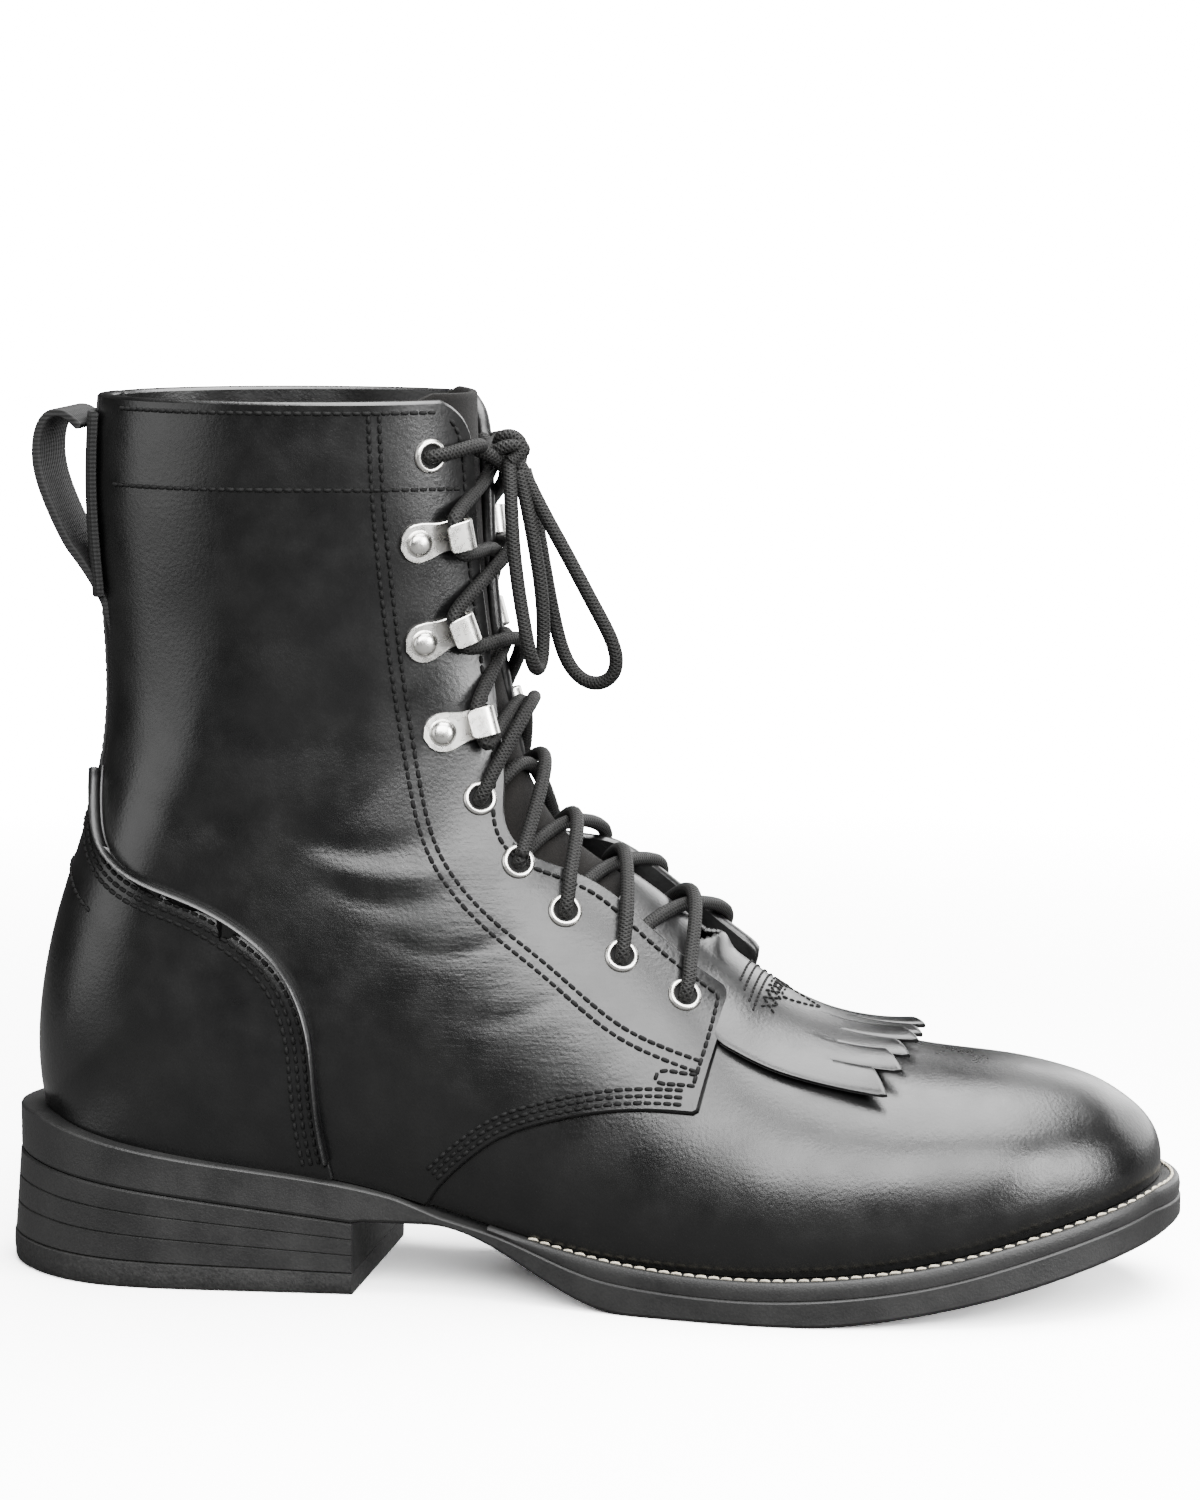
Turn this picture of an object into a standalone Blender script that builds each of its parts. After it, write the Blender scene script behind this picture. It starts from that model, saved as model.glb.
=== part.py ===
"""Lace-up boot with a fringed kiltie and a pull loop: a right boot that stands empty on its sole.

Tables are in millimetres.  +X is the toe, -Y the outer (lateral) side, +Z up.
"""

import math
from collections import namedtuple

import bmesh
import bpy
import numpy as np
from mathutils import Matrix, Vector
from mathutils.bvhtree import BVHTree

MM = 0.001

# Driving sizes
GAP = 0.3                # clearance between pieces that touch
WALL = 2.0               # lined vamp leather
QUARTER = 1.4            # quarter leather, lapped over the vamp
COUNTER = 2.5            # counter and its stiffener
STRIP = 2.3              # back strip
TONGUE = 2.0
TONGUE_DROP = 0.8        # room between the tongue and the wall
TONGUE_RISE = 0.14       # sections by which the tongue stands above the collar
KILTIE = 1.5
LACE = 3.4               # diameter of the round lace
HEEL_Y = -6.5            # centre line of heel and shaft
TOE_Y = 2.0              # centre line at the toe
SWING_FROM = -60.0       # where the centre line begins to swing inward
SWING_TO = 150.0
TO_CENTRE = (0.826, 1.285, 0.0)  # brings the middle of the boot's box over the origin
BREAST_X = -57.0         # front face of the heel
WELT = 4.5               # welt thickness at the forefoot
WELT_END_X = -22.0
STRIP_WIDTH = 15.0
STRIP_LOW_Z = 137.0     # lower end of the back strip, above the counter's point
LEATHER_TOP = QUARTER + GAP      # outside of the quarters above the last

# The last: a fan of sections from the toe tip to the collar.  A section runs from its crest on the
# ridge or shaft front to its base on the feather edge or, past the heel corner, on the back line.
# wide is the half width, belly the share of the way down where it is reached, seat_out and seat_in
# the shares of it that are left at the base, crown the roundness exponent, bow the forward bulge.
Section = namedtuple("Section", "name base_x base_z crest_x crest_z wide belly seat_out seat_in crown bow")
LAST = (
    Section("toe_tip",     149.5,  31.0, 140.5,  50.6,  0.0, .76, .93, .93, 2.2, 3.6),
    Section("toe_front",   146.6,  30.0, 135.5,  53.4, 13.6, .76, .93, .93, 2.2, 3.2),
    Section("toe_round",   137.6,  27.2, 126.5,  57.0, 26.4, .76, .94, .94, 2.2, 2.0),
    Section("toe_box",     116.0,  21.2, 109.0,  60.4, 40.0, .77, .95, .95, 2.2, 0.6),
    Section("fore",         90.0,  15.2,  88.0,  62.6, 47.0, .78, .955, .955, 2.15, 0.0),
    Section("ball",         62.0,  12.2,  66.0,  67.8, 49.6, .80, .955, .95, 2.05, 0.0),
    Section("vamp",         38.0,  11.8,  47.0,  77.0, 47.6, .81, .95, .94, 1.95, 0.0),
    Section("throat",       14.0,  13.3,  31.8,  91.2, 43.4, .80, .93, .90, 1.9, 0.0),
    Section("instep",       -8.0,  17.2,  11.6, 108.2, 39.2, .77, .90, .80, 1.9, 0.0),
    Section("waist",       -32.0,  23.2,  -4.6, 120.2, 35.8, .70, .86, .72, 1.9, 0.0),
    Section("heel_front",  -60.0,  29.6, -12.6, 132.4, 33.4, .64, .86, .84, 2.0, 0.0),
    Section("heel_mid",    -95.0,  34.2, -16.0, 142.0, 31.8, .68, .915, .91, 2.15, 0.0),
    Section("heel_side",  -122.6,  38.5, -18.0, 150.0, 31.0, .71, .862, .862, 2.25, 0.0),
    Section("heel_turn",  -138.8,  41.7, -19.6, 156.2, 30.6, .72, .485, .485, 2.3, 0.0),
    Section("heel_corner", -144.4, 43.0, -21.0, 162.0, 30.4, .73, 0.0, 0.0, 2.3, 0.0),
    Section("heel_bulge", -146.0,  58.0, -22.8, 169.0, 30.2, .72, 0.0, 0.0, 2.3, 0.0),
    Section("heel_top",   -141.4,  90.0, -24.2, 180.0, 30.0, .66, 0.0, 0.0, 2.25, 0.0),
    Section("ankle_low",  -131.0, 123.0, -25.2, 193.0, 30.6, .58, 0.0, 0.0, 2.2, 0.0),
    Section("ankle",      -126.4, 158.0, -26.0, 207.0, 32.2, .52, 0.0, 0.0, 2.15, 0.0),
    Section("shaft",      -128.8, 200.0, -26.6, 221.5, 34.4, .49, 0.0, 0.0, 2.1, 0.0),
    Section("collar",     -127.6, 231.5, -26.8, 231.5, 35.4, .48, 0.0, 0.0, 2.1, 0.0),
)
HEEL = [row.name for row in LAST].index("heel_corner")
ROW = {row.name: float(k) for k, row in enumerate(LAST)}

# How far the sole's edge stands out past the feather edge, by section
EdgeMargin = namedtuple("EdgeMargin", "section out inner")
SOLE_EDGE = (
    EdgeMargin("toe_tip", 5.6, 5.6),
    EdgeMargin("toe_box", 5.4, 5.4),
    EdgeMargin("ball", 5.0, 5.0),
    EdgeMargin("throat", 4.0, 4.0),
    EdgeMargin("instep", 2.4, 2.4),
    EdgeMargin("waist", 2.6, 2.4),
    EdgeMargin("heel_front", 5.0, 5.0),
    EdgeMargin("heel_mid", 6.6, 6.0),
    EdgeMargin("heel_corner", 10.2, 10.2),
)

# Underside of the sole
FLAT_FROM = 16.0         # flat of the forefoot
FLAT_TO = 62.0
TOE_SPRING = 20.0        # at TOE_X
TOE_X = 155.0
SPRING_CURVE = 1.6
ARCH_X = -37.0           # top of the arch
ARCH_Z = 19.4
SEAT_UNDER_FRONT = 19.0  # underside of the heel seat at the breast and at the back
SEAT_UNDER_BACK = 30.6
HEEL_BACK_X = -153.0
TOP_LIFT_FRONT = 5.6
TOP_LIFT_BACK = 8.0
HEEL_FLARE = 2.4         # the heel's foot stands out behind its top
STACK_GROOVES = (0.36, 0.68)
GROOVE = 0.8

# Edges seen from the side, as x, z
FACING = ((-40.0, 233.0), (-34.0, 231.6), (-29.6, 226.4), (-27.6, 214.4), (-26.9, 194.0), (-25.2, 175.7),
          (-22.6, 155.0), (-19.8, 136.0), (-19.0, 124.0), (-13.6, 116.0), (-4.4, 111.4), (6.3, 106.2),
          (16.9, 97.8), (27.4, 89.2), (36.4, 82.6))
QUARTER_FRONT = ((39.0, 78.4), (37.6, 69.0), (35.9, 62.0), (33.9, 53.2))
QUARTER_SEAM = ((33.9, 53.2), (20.4, 53.6), (5.3, 51.9), (-10.2, 47.7), (-21.0, 42.1), (-31.4, 33.0),
                (-37.4, 25.6))
COUNTER_EDGE = ((-62.7, 30.8), (-65.1, 44.1), (-66.3, 57.5), (-68.0, 70.6), (-73.4, 83.3),
                (-83.1, 93.1), (-97.1, 101.4), (-111.5, 106.9), (-122.2, 113.6), (-128.3, 125.2),
                (-132.5, 136.0))

# Eyelets and hooks on each side, from the bottom up, as x, z seen from the side
EYELETS = ((28.9, 80.3), (12.6, 90.1), (-2.4, 101.2), (-14.8, 113.6), (-25.0, 129.7), (-36.9, 218.1))
HOOKS = ((-33.1, 147.3), (-36.4, 171.7), (-38.6, 196.7))
EYELET_RADIUS = 4.0
EYELET_HOLE = 2.3
EYELET_RISE = 1.2
EYELET_CLEAR = 7.6       # a lace crossing begins this far from an eyelet's or hook's middle
HOOK_CLEAR = 12.6
SIDES = {"lateral": -1.0, "medial": 1.0}

# Pull loop: its middle line seen from the side
PULL_LOOP = ((-131.6, 225.6), (-136.5, 229.2), (-142.4, 228.6), (-146.2, 222.6), (-146.6, 213.0),
             (-143.6, 203.0), (-139.2, 193.6), (-135.0, 186.0), (-132.4, 180.0))
LOOP_WIDTH = 24.0
LOOP_THICK = 2.2

# Kiltie: a row per station from its neck to the fringe tips, half width and lift off the last
KiltieRow = namedtuple("KiltieRow", "section half lift")
KILTIE_ROWS = (
    KiltieRow(8.0, 9.0, -2.4),
    KiltieRow(7.5, 9.5, -2.2),
    KiltieRow(7.0, 9.5, -1.2),
    KiltieRow(6.62, 9.5, 0.9),
    KiltieRow(6.40, 13.5, 1.0),
    KiltieRow(6.26, 20.0, 1.1),
    KiltieRow(6.14, 27.0, 1.1),
    KiltieRow(5.9, 30.0, 1.1),
    KiltieRow(5.6, 31.5, 1.2),
)
FRINGE_ROWS = (
    KiltieRow(5.2, 32.0, 1.6),
    KiltieRow(4.75, 32.5, 2.6),
    KiltieRow(4.25, 33.0, 3.6),
)
FRINGE_STRIPS = 9
FRINGE_SLIT = 0.16       # share of a strip's pitch
FRINGE_SLANT = 0.22      # rows by which one corner of a tip is longer than the other

# The bow: route points of its two loops and the knot, as x, y, z
KNOT = (-17.0, -8.0, 219.0)
KNOT_SIZE = (5.0, 6.0, 5.6)
LOOP_SIDE = ((-13.4, -10.5, 214.0), (-9.0, -12.0, 204.0), (-3.4, -12.6, 192.0), (2.6, -12.4, 179.0),
             (7.4, -11.4, 168.0), (6.8, -9.6, 160.4), (1.0, -8.0, 158.0), (-4.6, -6.6, 162.0),
             (-7.6, -5.4, 174.0), (-9.6, -4.4, 190.0), (-11.6, -4.0, 204.0), (-13.6, -4.4, 213.0))
LOOP_FRONT = ((-16.6, -14.8, 214.6), (-16.0, -18.0, 204.0), (-15.0, -20.0, 190.0), (-13.8, -21.0, 176.0),
              (-12.0, -21.0, 165.6), (-9.4, -19.6, 162.6), (-7.6, -17.6, 167.0), (-8.6, -16.2, 180.0),
              (-10.4, -15.2, 194.0), (-12.8, -14.2, 206.0), (-15.0, -13.6, 211.6))

COLOURS = {
    "leather": (0.012, 0.012, 0.013), "suede": (0.02, 0.018, 0.017), "rubber": (0.018, 0.018, 0.019),
    "insole": (0.05, 0.04, 0.033), "webbing": (0.014, 0.014, 0.014), "cord": (0.011, 0.011, 0.012),
    "nickel": (0.62, 0.61, 0.58),
}


def spline(values, at, start="free", end="free"):
    """Smooth curve through values one apart, read at `at`; an end can be mirrored, even or odd."""
    values = np.asarray(values, float)
    sign = {"even": 1.0, "odd": -1.0}
    head = sign[start] * values[3:0:-1] if start in sign else values[:0]
    tail = sign[end] * values[-2:-5:-1] if end in sign else values[:0]
    rows = np.concatenate((head, values, tail))
    count = len(rows)
    matrix = np.eye(count)
    right = np.zeros_like(rows)
    for k in range(1, count - 1):
        matrix[k, k - 1:k + 2] = 1.0, 4.0, 1.0
        right[k] = 6.0 * (rows[k - 1] - 2.0 * rows[k] + rows[k + 1])
    bend = np.linalg.solve(matrix, right)
    place = np.asarray(at, float) + len(head)
    k = np.clip(np.floor(place).astype(int), 0, count - 2)
    b = place - k
    a = 1.0 - b
    if rows.ndim > 1:
        a, b = a[..., None], b[..., None]
    return a * rows[k] + b * rows[k + 1] + ((a ** 3 - a) * bend[k] + (b ** 3 - b) * bend[k + 1]) / 6.0


def smooth(points, count):
    """Points evenly spread along a smooth curve through the given ones."""
    points = np.asarray(points, float)
    fine = spline(points, np.linspace(0.0, len(points) - 1.0, 24 * len(points)))
    steps = np.linalg.norm(np.diff(fine, axis=0), axis=1)
    along = np.concatenate(([0.0], np.cumsum(steps)))
    wanted = np.linspace(0.0, along[-1], count)
    return np.stack([np.interp(wanted, along, fine[:, k]) for k in range(fine.shape[1])], axis=1)


def centre_y(x):
    share = np.clip((x - SWING_FROM) / (SWING_TO - SWING_FROM), 0.0, 1.0)
    return HEEL_Y + (TOE_Y - HEEL_Y) * share * share * (3.0 - 2.0 * share)


def column(name, s):
    return spline([getattr(row, name) for row in LAST], s, start="odd" if name == "wide" else "even")


def split_column(name, s, at_heel):
    """A column whose curve turns a corner at the heel corner."""
    values = [getattr(row, name) for row in LAST]
    front = spline(values[:HEEL + 1], np.minimum(s, HEEL), start="even", end=at_heel)
    back = spline(values[HEEL:], np.maximum(s, HEEL) - HEEL, start=at_heel)
    return np.where(s <= HEEL, front, back)


def last_point(s, p):
    """Point of the last: s along the sections, p from -2 (outer base) over 0 (crest) to 2 (inner base)."""
    s, p = np.broadcast_arrays(np.asarray(s, float), np.asarray(p, float))
    base = np.stack((split_column("base_x", s, "even"), split_column("base_z", s, "even")), axis=-1)
    crest = np.stack((column("crest_x", s), column("crest_z", s)), axis=-1)
    seat = np.where(p < 0.0, split_column("seat_out", s, "odd"), split_column("seat_in", s, "odd"))
    belly = column("belly", s)
    power = 2.0 / column("crown", s)
    turn = np.minimum(np.abs(p), 1.0) * math.pi / 2.0
    close = np.maximum(np.abs(p) - 1.0, 0.0) * np.arccos(np.clip(seat, 0.0, 0.999))
    full = np.sqrt(1.0 - np.clip(seat, 0.0, 0.999) ** 2)
    above = belly * (1.0 - np.cos(turn) ** power)
    below = belly + (1.0 - belly) * np.sin(close) / full
    reach = np.where(np.abs(p) <= 1.0, above, below)
    half = column("wide", s) * np.where(np.abs(p) <= 1.0, np.sin(turn) ** power, np.cos(close))
    line = base - crest
    length = np.linalg.norm(line, axis=-1)
    bulge = 4.0 * reach * (1.0 - reach) * column("bow", s) / length
    x = crest[..., 0] + line[..., 0] * reach - line[..., 1] * bulge
    z = crest[..., 1] + line[..., 1] * reach + line[..., 0] * bulge
    return np.stack((x, centre_y(x) + np.sign(p) * half, z), axis=-1)


def last_normal(s, p):
    """Outward normal of the last; at the heel corner it is read just above the corner."""
    step = 0.004
    s = np.where(np.abs(s - HEEL) < 0.06, HEEL + 0.06, s)
    across = last_point(s, p + step) - last_point(s, p - step)
    along = last_point(s + step, p) - last_point(s - step, p)
    normal = np.cross(across, along)
    return normal / np.maximum(np.linalg.norm(normal, axis=-1, keepdims=True), 1e-9)


def skin(s, p, offset):
    """Point at a distance outside the last."""
    s, p = np.broadcast_arrays(np.asarray(s, float), np.asarray(p, float))
    return last_point(s, p) + last_normal(s, p) * np.asarray(offset)[..., None]


def locate(x, z, side, offset):
    """Rows s, p of the skin point that is seen from the side at x, z."""
    s, p = np.meshgrid(np.linspace(4.0, len(LAST) - 1.0, 120), np.linspace(0.08, 1.9, 60), indexing="ij")
    seen = skin(s, side * p, offset)
    best = np.argmin((seen[..., 0] - x) ** 2 + (seen[..., 2] - z) ** 2)
    place = np.array((s.flat[best], p.flat[best]))
    step = 1e-3
    for _ in range(8):
        def miss(at):
            point = skin(at[0], side * at[1], offset)
            return np.array((point[0] - x, point[2] - z))
        here = miss(place)
        slope = np.stack([(miss(place + step * axis) - here) / step for axis in np.eye(2)], axis=1)
        place = place - np.linalg.solve(slope, here)
    return place[0], side * place[1]


def new_mesh(name, verts, faces):
    """Mesh object from millimetre points, doubles merged and faces turned outwards together."""
    mesh = bpy.data.meshes.new(name)
    mesh.from_pydata([tuple(MM * c for c in v) for v in verts], [], faces)
    work = bmesh.new()
    work.from_mesh(mesh)
    bmesh.ops.remove_doubles(work, verts=work.verts, dist=3e-5)
    bmesh.ops.dissolve_degenerate(work, edges=work.edges, dist=1e-5)
    bmesh.ops.recalc_face_normals(work, faces=work.faces)
    work.to_mesh(mesh)
    work.free()
    item = bpy.data.objects.new(name, mesh)
    PARTS.objects.link(item)
    return item


def grid_faces(rows, columns, closed=False):
    wrap = columns if closed else columns - 1
    return [(i * columns + j, i * columns + (j + 1) % columns,
             (i + 1) * columns + (j + 1) % columns, (i + 1) * columns + j)
            for i in range(rows - 1) for j in range(wrap)]


def skin_shell(name, s_values, p_values, inner, outer):
    """Closed wall between two distances from the last, over a grid of sections."""
    s, p = np.meshgrid(s_values, p_values, indexing="ij")
    rows, columns = s.shape
    verts = np.concatenate([skin(s, p, np.full(s.shape, d)).reshape(-1, 3) for d in (outer, inner)])
    over = [half for a, b, c, d in grid_faces(rows, columns) for half in ((a, b, c), (a, c, d))]
    under = [tuple(v + rows * columns for v in reversed(face)) for face in over]
    rim = []
    size = rows * columns
    wraps = np.allclose(p_values[0], -2.0) and np.allclose(p_values[-1], 2.0)
    for i in range(rows - 1):
        for j in (0, columns - 1):
            if wraps and s_values[i] >= HEEL - 1e-6:
                continue
            a, b = i * columns + j, (i + 1) * columns + j
            rim.append((a, b, b + size, a + size))
    for i in (0, rows - 1):
        if i == 0 and abs(s_values[0]) < 1e-9:
            continue
        for j in range(columns - 1):
            a, b = i * columns + j, i * columns + j + 1
            rim.append((a, b, b + size, a + size))
    return new_mesh(name, verts, over + under + rim)


def prism(name, outline, low_y=-120.0, high_y=120.0):
    """Cutter: an outline seen from the side, pushed through in y."""
    count = len(outline)
    verts = [(x, y, z) for y in (low_y, high_y) for x, z in outline]
    faces = [tuple(range(count)), tuple(range(2 * count - 1, count - 1, -1))]
    faces += [(k, (k + 1) % count, (k + 1) % count + count, k + count) for k in range(count)]
    return as_cutter(new_mesh(name, verts, faces))


def as_cutter(item):
    PARTS.objects.unlink(item)
    CUTTERS.objects.link(item)
    item.hide_render = True
    item.display_type = "WIRE"
    return item


def boolean(item, tool, operation):
    step = item.modifiers.new(operation.lower(), "BOOLEAN")
    step.object = tool
    step.operation = operation
    step.solver = "EXACT"


def apply(item):
    """Turns an object's modifiers into plain mesh."""
    graph = bpy.context.evaluated_depsgraph_get()
    done = bpy.data.meshes.new_from_object(item.evaluated_get(graph))
    item.modifiers.clear()
    item.data = done
    work = bmesh.new()
    work.from_mesh(done)
    bmesh.ops.remove_doubles(work, verts=work.verts, dist=2e-5)
    bmesh.ops.dissolve_degenerate(work, edges=work.edges, dist=2e-5)
    work.to_mesh(done)
    work.free()
    return item


def finish(item, colour, rough, metal=0.0):
    material = bpy.data.materials.get(colour)
    if material is None:
        material = bpy.data.materials.new(colour)
        material.use_nodes = True
        shader = material.node_tree.nodes["Principled BSDF"]
        shader.inputs["Base Color"].default_value = (*COLOURS[colour], 1.0)
        shader.inputs["Roughness"].default_value = rough
        shader.inputs["Metallic"].default_value = metal
    item.data.materials.clear()
    item.data.materials.append(material)
    return item


def plate(name, rings):
    """Solid between stacked rings of equal count; the end rings are filled rung by rung."""
    count = len(rings[0])
    verts = np.concatenate(rings)
    faces = grid_faces(len(rings), count, closed=True)
    for ring in (0, len(rings) - 1):
        start = ring * count
        for k in range(count // 2):
            rung = (start + k, start + k + 1, start + count - 2 - k, start + count - 1 - k)
            if len(set(rung)) > 2:
                faces.append(rung)
    return new_mesh(name, verts, faces)


def ribbon(name, frames):
    """Solid swept through four-sided (or finer) frames, closed at both ends."""
    count = len(frames[0])
    verts = np.concatenate(frames)
    faces = grid_faces(len(frames), count, closed=True)
    faces += [tuple(range(count)), tuple(range(len(verts) - count, len(verts)))]
    return new_mesh(name, verts, faces)


def under_z(x):
    """Underside of the sole: heel seat, arch, flat forefoot and toe spring."""
    x = np.asarray(x, float)
    rise = np.clip((FLAT_FROM - x) / (FLAT_FROM - ARCH_X), 0.0, 1.0)
    arch = ARCH_Z * rise * rise * (3.0 - 2.0 * rise)
    spring = TOE_SPRING * (np.maximum(x - FLAT_TO, 0.0) / (TOE_X - FLAT_TO)) ** SPRING_CURVE
    seat = SEAT_UNDER_FRONT + (SEAT_UNDER_BACK - SEAT_UNDER_FRONT) * (BREAST_X - x) / (BREAST_X - HEEL_BACK_X)
    return np.where(x <= BREAST_X, seat, arch + spring)


def feather_z(x):
    """Height of the feather edge, where the upper meets the sole."""
    s = np.linspace(0.0, HEEL, 200)
    base = last_point(s, -2.0)
    return np.interp(-np.asarray(x, float), -base[:, 0], base[:, 2])


def welt_thick(x):
    share = np.clip((np.asarray(x, float) - WELT_END_X) / 34.0, 0.0, 1.0)
    return 1.2 + (WELT - 1.2) * share * share * (3.0 - 2.0 * share)


def top_z(x):
    """Top of the outsole: under the welt at the forefoot, at the feather edge behind it."""
    x = np.asarray(x, float)
    under_welt = np.clip((x - WELT_END_X + 24.0) / 12.0, 0.0, 1.0)
    return feather_z(x) - GAP - under_welt * (welt_thick(x) + GAP)


def sole_outline(s_values, inset, side):
    """Edge of the sole in plan on one side; a positive inset moves it inwards."""
    rows = [ROW[row.section] for row in SOLE_EDGE]
    width = [row.out if side < 0.0 else row.inner for row in SOLE_EDGE]
    fine = np.linspace(0.0, HEEL, 200)
    margin = np.interp(fine, rows, width)
    margin = np.convolve(np.pad(margin, 12, mode="edge"), np.ones(25) / 25.0, mode="valid")
    edge = last_point(s_values, 2.0 * side)[:, :2]
    step = 0.01
    ahead = last_point(s_values - step, 2.0 * side)[:, :2]
    behind = last_point(s_values + step, 2.0 * side)[:, :2]
    tangent = ahead - behind
    tangent[0] = (0.0, side * -1.0) if s_values[0] < 1e-9 else tangent[0]
    tangent[-1] = (0.0, side) if s_values[-1] > HEEL - 1e-9 else tangent[-1]
    normal = np.stack((-side * tangent[:, 1], side * tangent[:, 0]), axis=1)
    normal /= np.linalg.norm(normal, axis=1, keepdims=True)
    return edge + normal * (np.interp(s_values, fine, margin) - inset)[:, None]


def sole_ring(s_values, inset):
    """Plan ring of the whole sole, toe to heel on the outer side and back on the inner side."""
    out = sole_outline(s_values, inset, -1.0)
    inner = sole_outline(s_values, inset, 1.0)
    return np.concatenate((out, inner[::-1]))


def lift(plan, height):
    return np.column_stack((plan, height))


SOLE_S = np.concatenate((np.linspace(0.0, 4.0, 11), np.linspace(4.4, 10.0, 14), np.linspace(10.4, HEEL, 10)))


def make_outsole():
    s_values = SOLE_S
    shoulder = 1.4
    wide, low = sole_ring(s_values, 0.0), sole_ring(s_values, 1.0)
    inner = sole_ring(s_values, shoulder)
    waist = np.clip((ARCH_X + 42.0 - np.abs(wide[:, 0] - ARCH_X)) / 30.0, 0.0, 1.0)
    thin = top_z(wide[:, 0]) - under_z(wide[:, 0])
    foot = np.minimum(1.0 + 0.6 * waist, 0.3 * thin)
    rings = (
        lift(inner, top_z(inner[:, 0])),
        lift(wide, top_z(wide[:, 0]) - np.minimum(shoulder, 0.3 * thin)),
        lift(wide, under_z(wide[:, 0]) + foot),
        lift(low, under_z(low[:, 0])),
    )
    return finish(plate("outsole", rings), "rubber", 0.6)


def make_welt():
    """Strip round the forefoot, its outer edge just inside the outsole's and its inner edge under the wall."""
    s_end = np.interp(-WELT_END_X, [-row.base_x for row in LAST[:HEEL]], np.arange(HEEL))
    s_values = SOLE_S[SOLE_S <= s_end]
    lines = []
    for inset in (0.4, 1.3, 5.6, 13.0):
        out, inner = (sole_outline(s_values, inset, side) for side in SIDES.values())
        lines.append(np.concatenate((out[::-1], inner[1:])))
    edge, shoulder, feather, under = lines
    frames = np.stack((
        lift(edge, feather_z(edge[:, 0]) - GAP - 0.9),
        lift(shoulder, feather_z(shoulder[:, 0]) - GAP),
        lift(under, feather_z(under[:, 0]) - GAP),
        lift(under, top_z(under[:, 0]) + 2.0 * GAP),
        lift(feather, top_z(feather[:, 0]) + 2.0 * GAP),
        lift(edge, top_z(edge[:, 0]) + 2.0 * GAP)), axis=1)
    return finish(ribbon("welt", list(frames)), "rubber", 0.55)


def heel_ring(inset, flare):
    """Ring of the heel, from the breast round the back, between the seat and the floor."""
    fine = np.linspace(9.0, HEEL, 240)
    sides = []
    for side in (-1.0, 1.0):
        edge = sole_outline(fine, inset, side)
        start = np.interp(-BREAST_X, -edge[:, 0], fine)
        sides.append(sole_outline(np.linspace(start, HEEL, 13), inset, side))
    ring = np.concatenate((sides[0], sides[1][::-1]))
    back = np.clip((BREAST_X - ring[:, 0]) / (BREAST_X - HEEL_BACK_X), 0.0, 1.0)
    ring[:, 0] -= flare * back
    seat = under_z(np.minimum(ring[:, 0], BREAST_X)) - GAP
    lift_top = TOP_LIFT_FRONT + (TOP_LIFT_BACK - TOP_LIFT_FRONT) * back
    return ring, seat, lift_top


def make_heel():
    stack = []
    levels = [(0.0, 0.0), (1.0, 0.0)]
    for groove in STACK_GROOVES:
        levels += [(groove - 0.045, 0.0), (groove, GROOVE), (groove + 0.045, 0.0)]
    for share, inset in sorted(levels, reverse=True):
        ring, seat, lift_top = heel_ring(0.4 + inset, HEEL_FLARE * (1.0 - 0.75 * share))
        low = lift_top + GAP
        stack.append(lift(ring, low + (seat - low) * share))
    finish(plate("heel_stack", stack), "rubber", 0.6)
    lifts = []
    for height, inset in ((1.0, 0.5), (0.55, 0.0), (0.16, 0.2), (0.0, 1.2)):
        ring, seat, lift_top = heel_ring(inset, HEEL_FLARE)
        lifts.append(lift(ring, lift_top * height))
    finish(plate("heel_top_lift", lifts), "rubber", 0.7)


def make_insole():
    ring = sole_ring(SOLE_S, 13.6)
    rings = (lift(ring, feather_z(ring[:, 0]) + 3.2), lift(ring, top_z(ring[:, 0]) + 2.0 * GAP))
    return finish(plate("insole", rings), "insole", 0.85)


def side_line(points, count):
    return [tuple(point) for point in smooth(points, count)]


def shifted(line, distance):
    """A side-view line moved to its left by a distance."""
    line = np.asarray(line)
    tangent = np.gradient(line, axis=0)
    tangent /= np.linalg.norm(tangent, axis=1, keepdims=True)
    return [tuple(p) for p in line + distance * np.stack((-tangent[:, 1], tangent[:, 0]), axis=1)]


UPPER_S = np.concatenate((np.linspace(0.0, 3.0, 7), np.linspace(3.6, 9.0, 10), np.linspace(9.7, 14.0, 8),
                          np.linspace(14.6, 20.0, 8)))
UPPER_P = np.linspace(-2.0, 2.0, 15)


def make_upper():
    shell = skin_shell("upper", UPPER_S, UPPER_P, -WALL, 0.0)
    facing = side_line(FACING, 30)
    throat = prism("throat_cut", facing + [(42.0, 84.5), (90.0, 110.0), (90.0, 260.0), (-40.0, 260.0)])
    boolean(shell, throat, "DIFFERENCE")
    return finish(apply(shell), "leather", 0.35)


def hem_line(from_x, to_x, count):
    """Lower edge of an overlay, just above the sole."""
    return [(x, float(feather_z(x)) + GAP) for x in np.linspace(from_x, to_x, count)]


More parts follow.
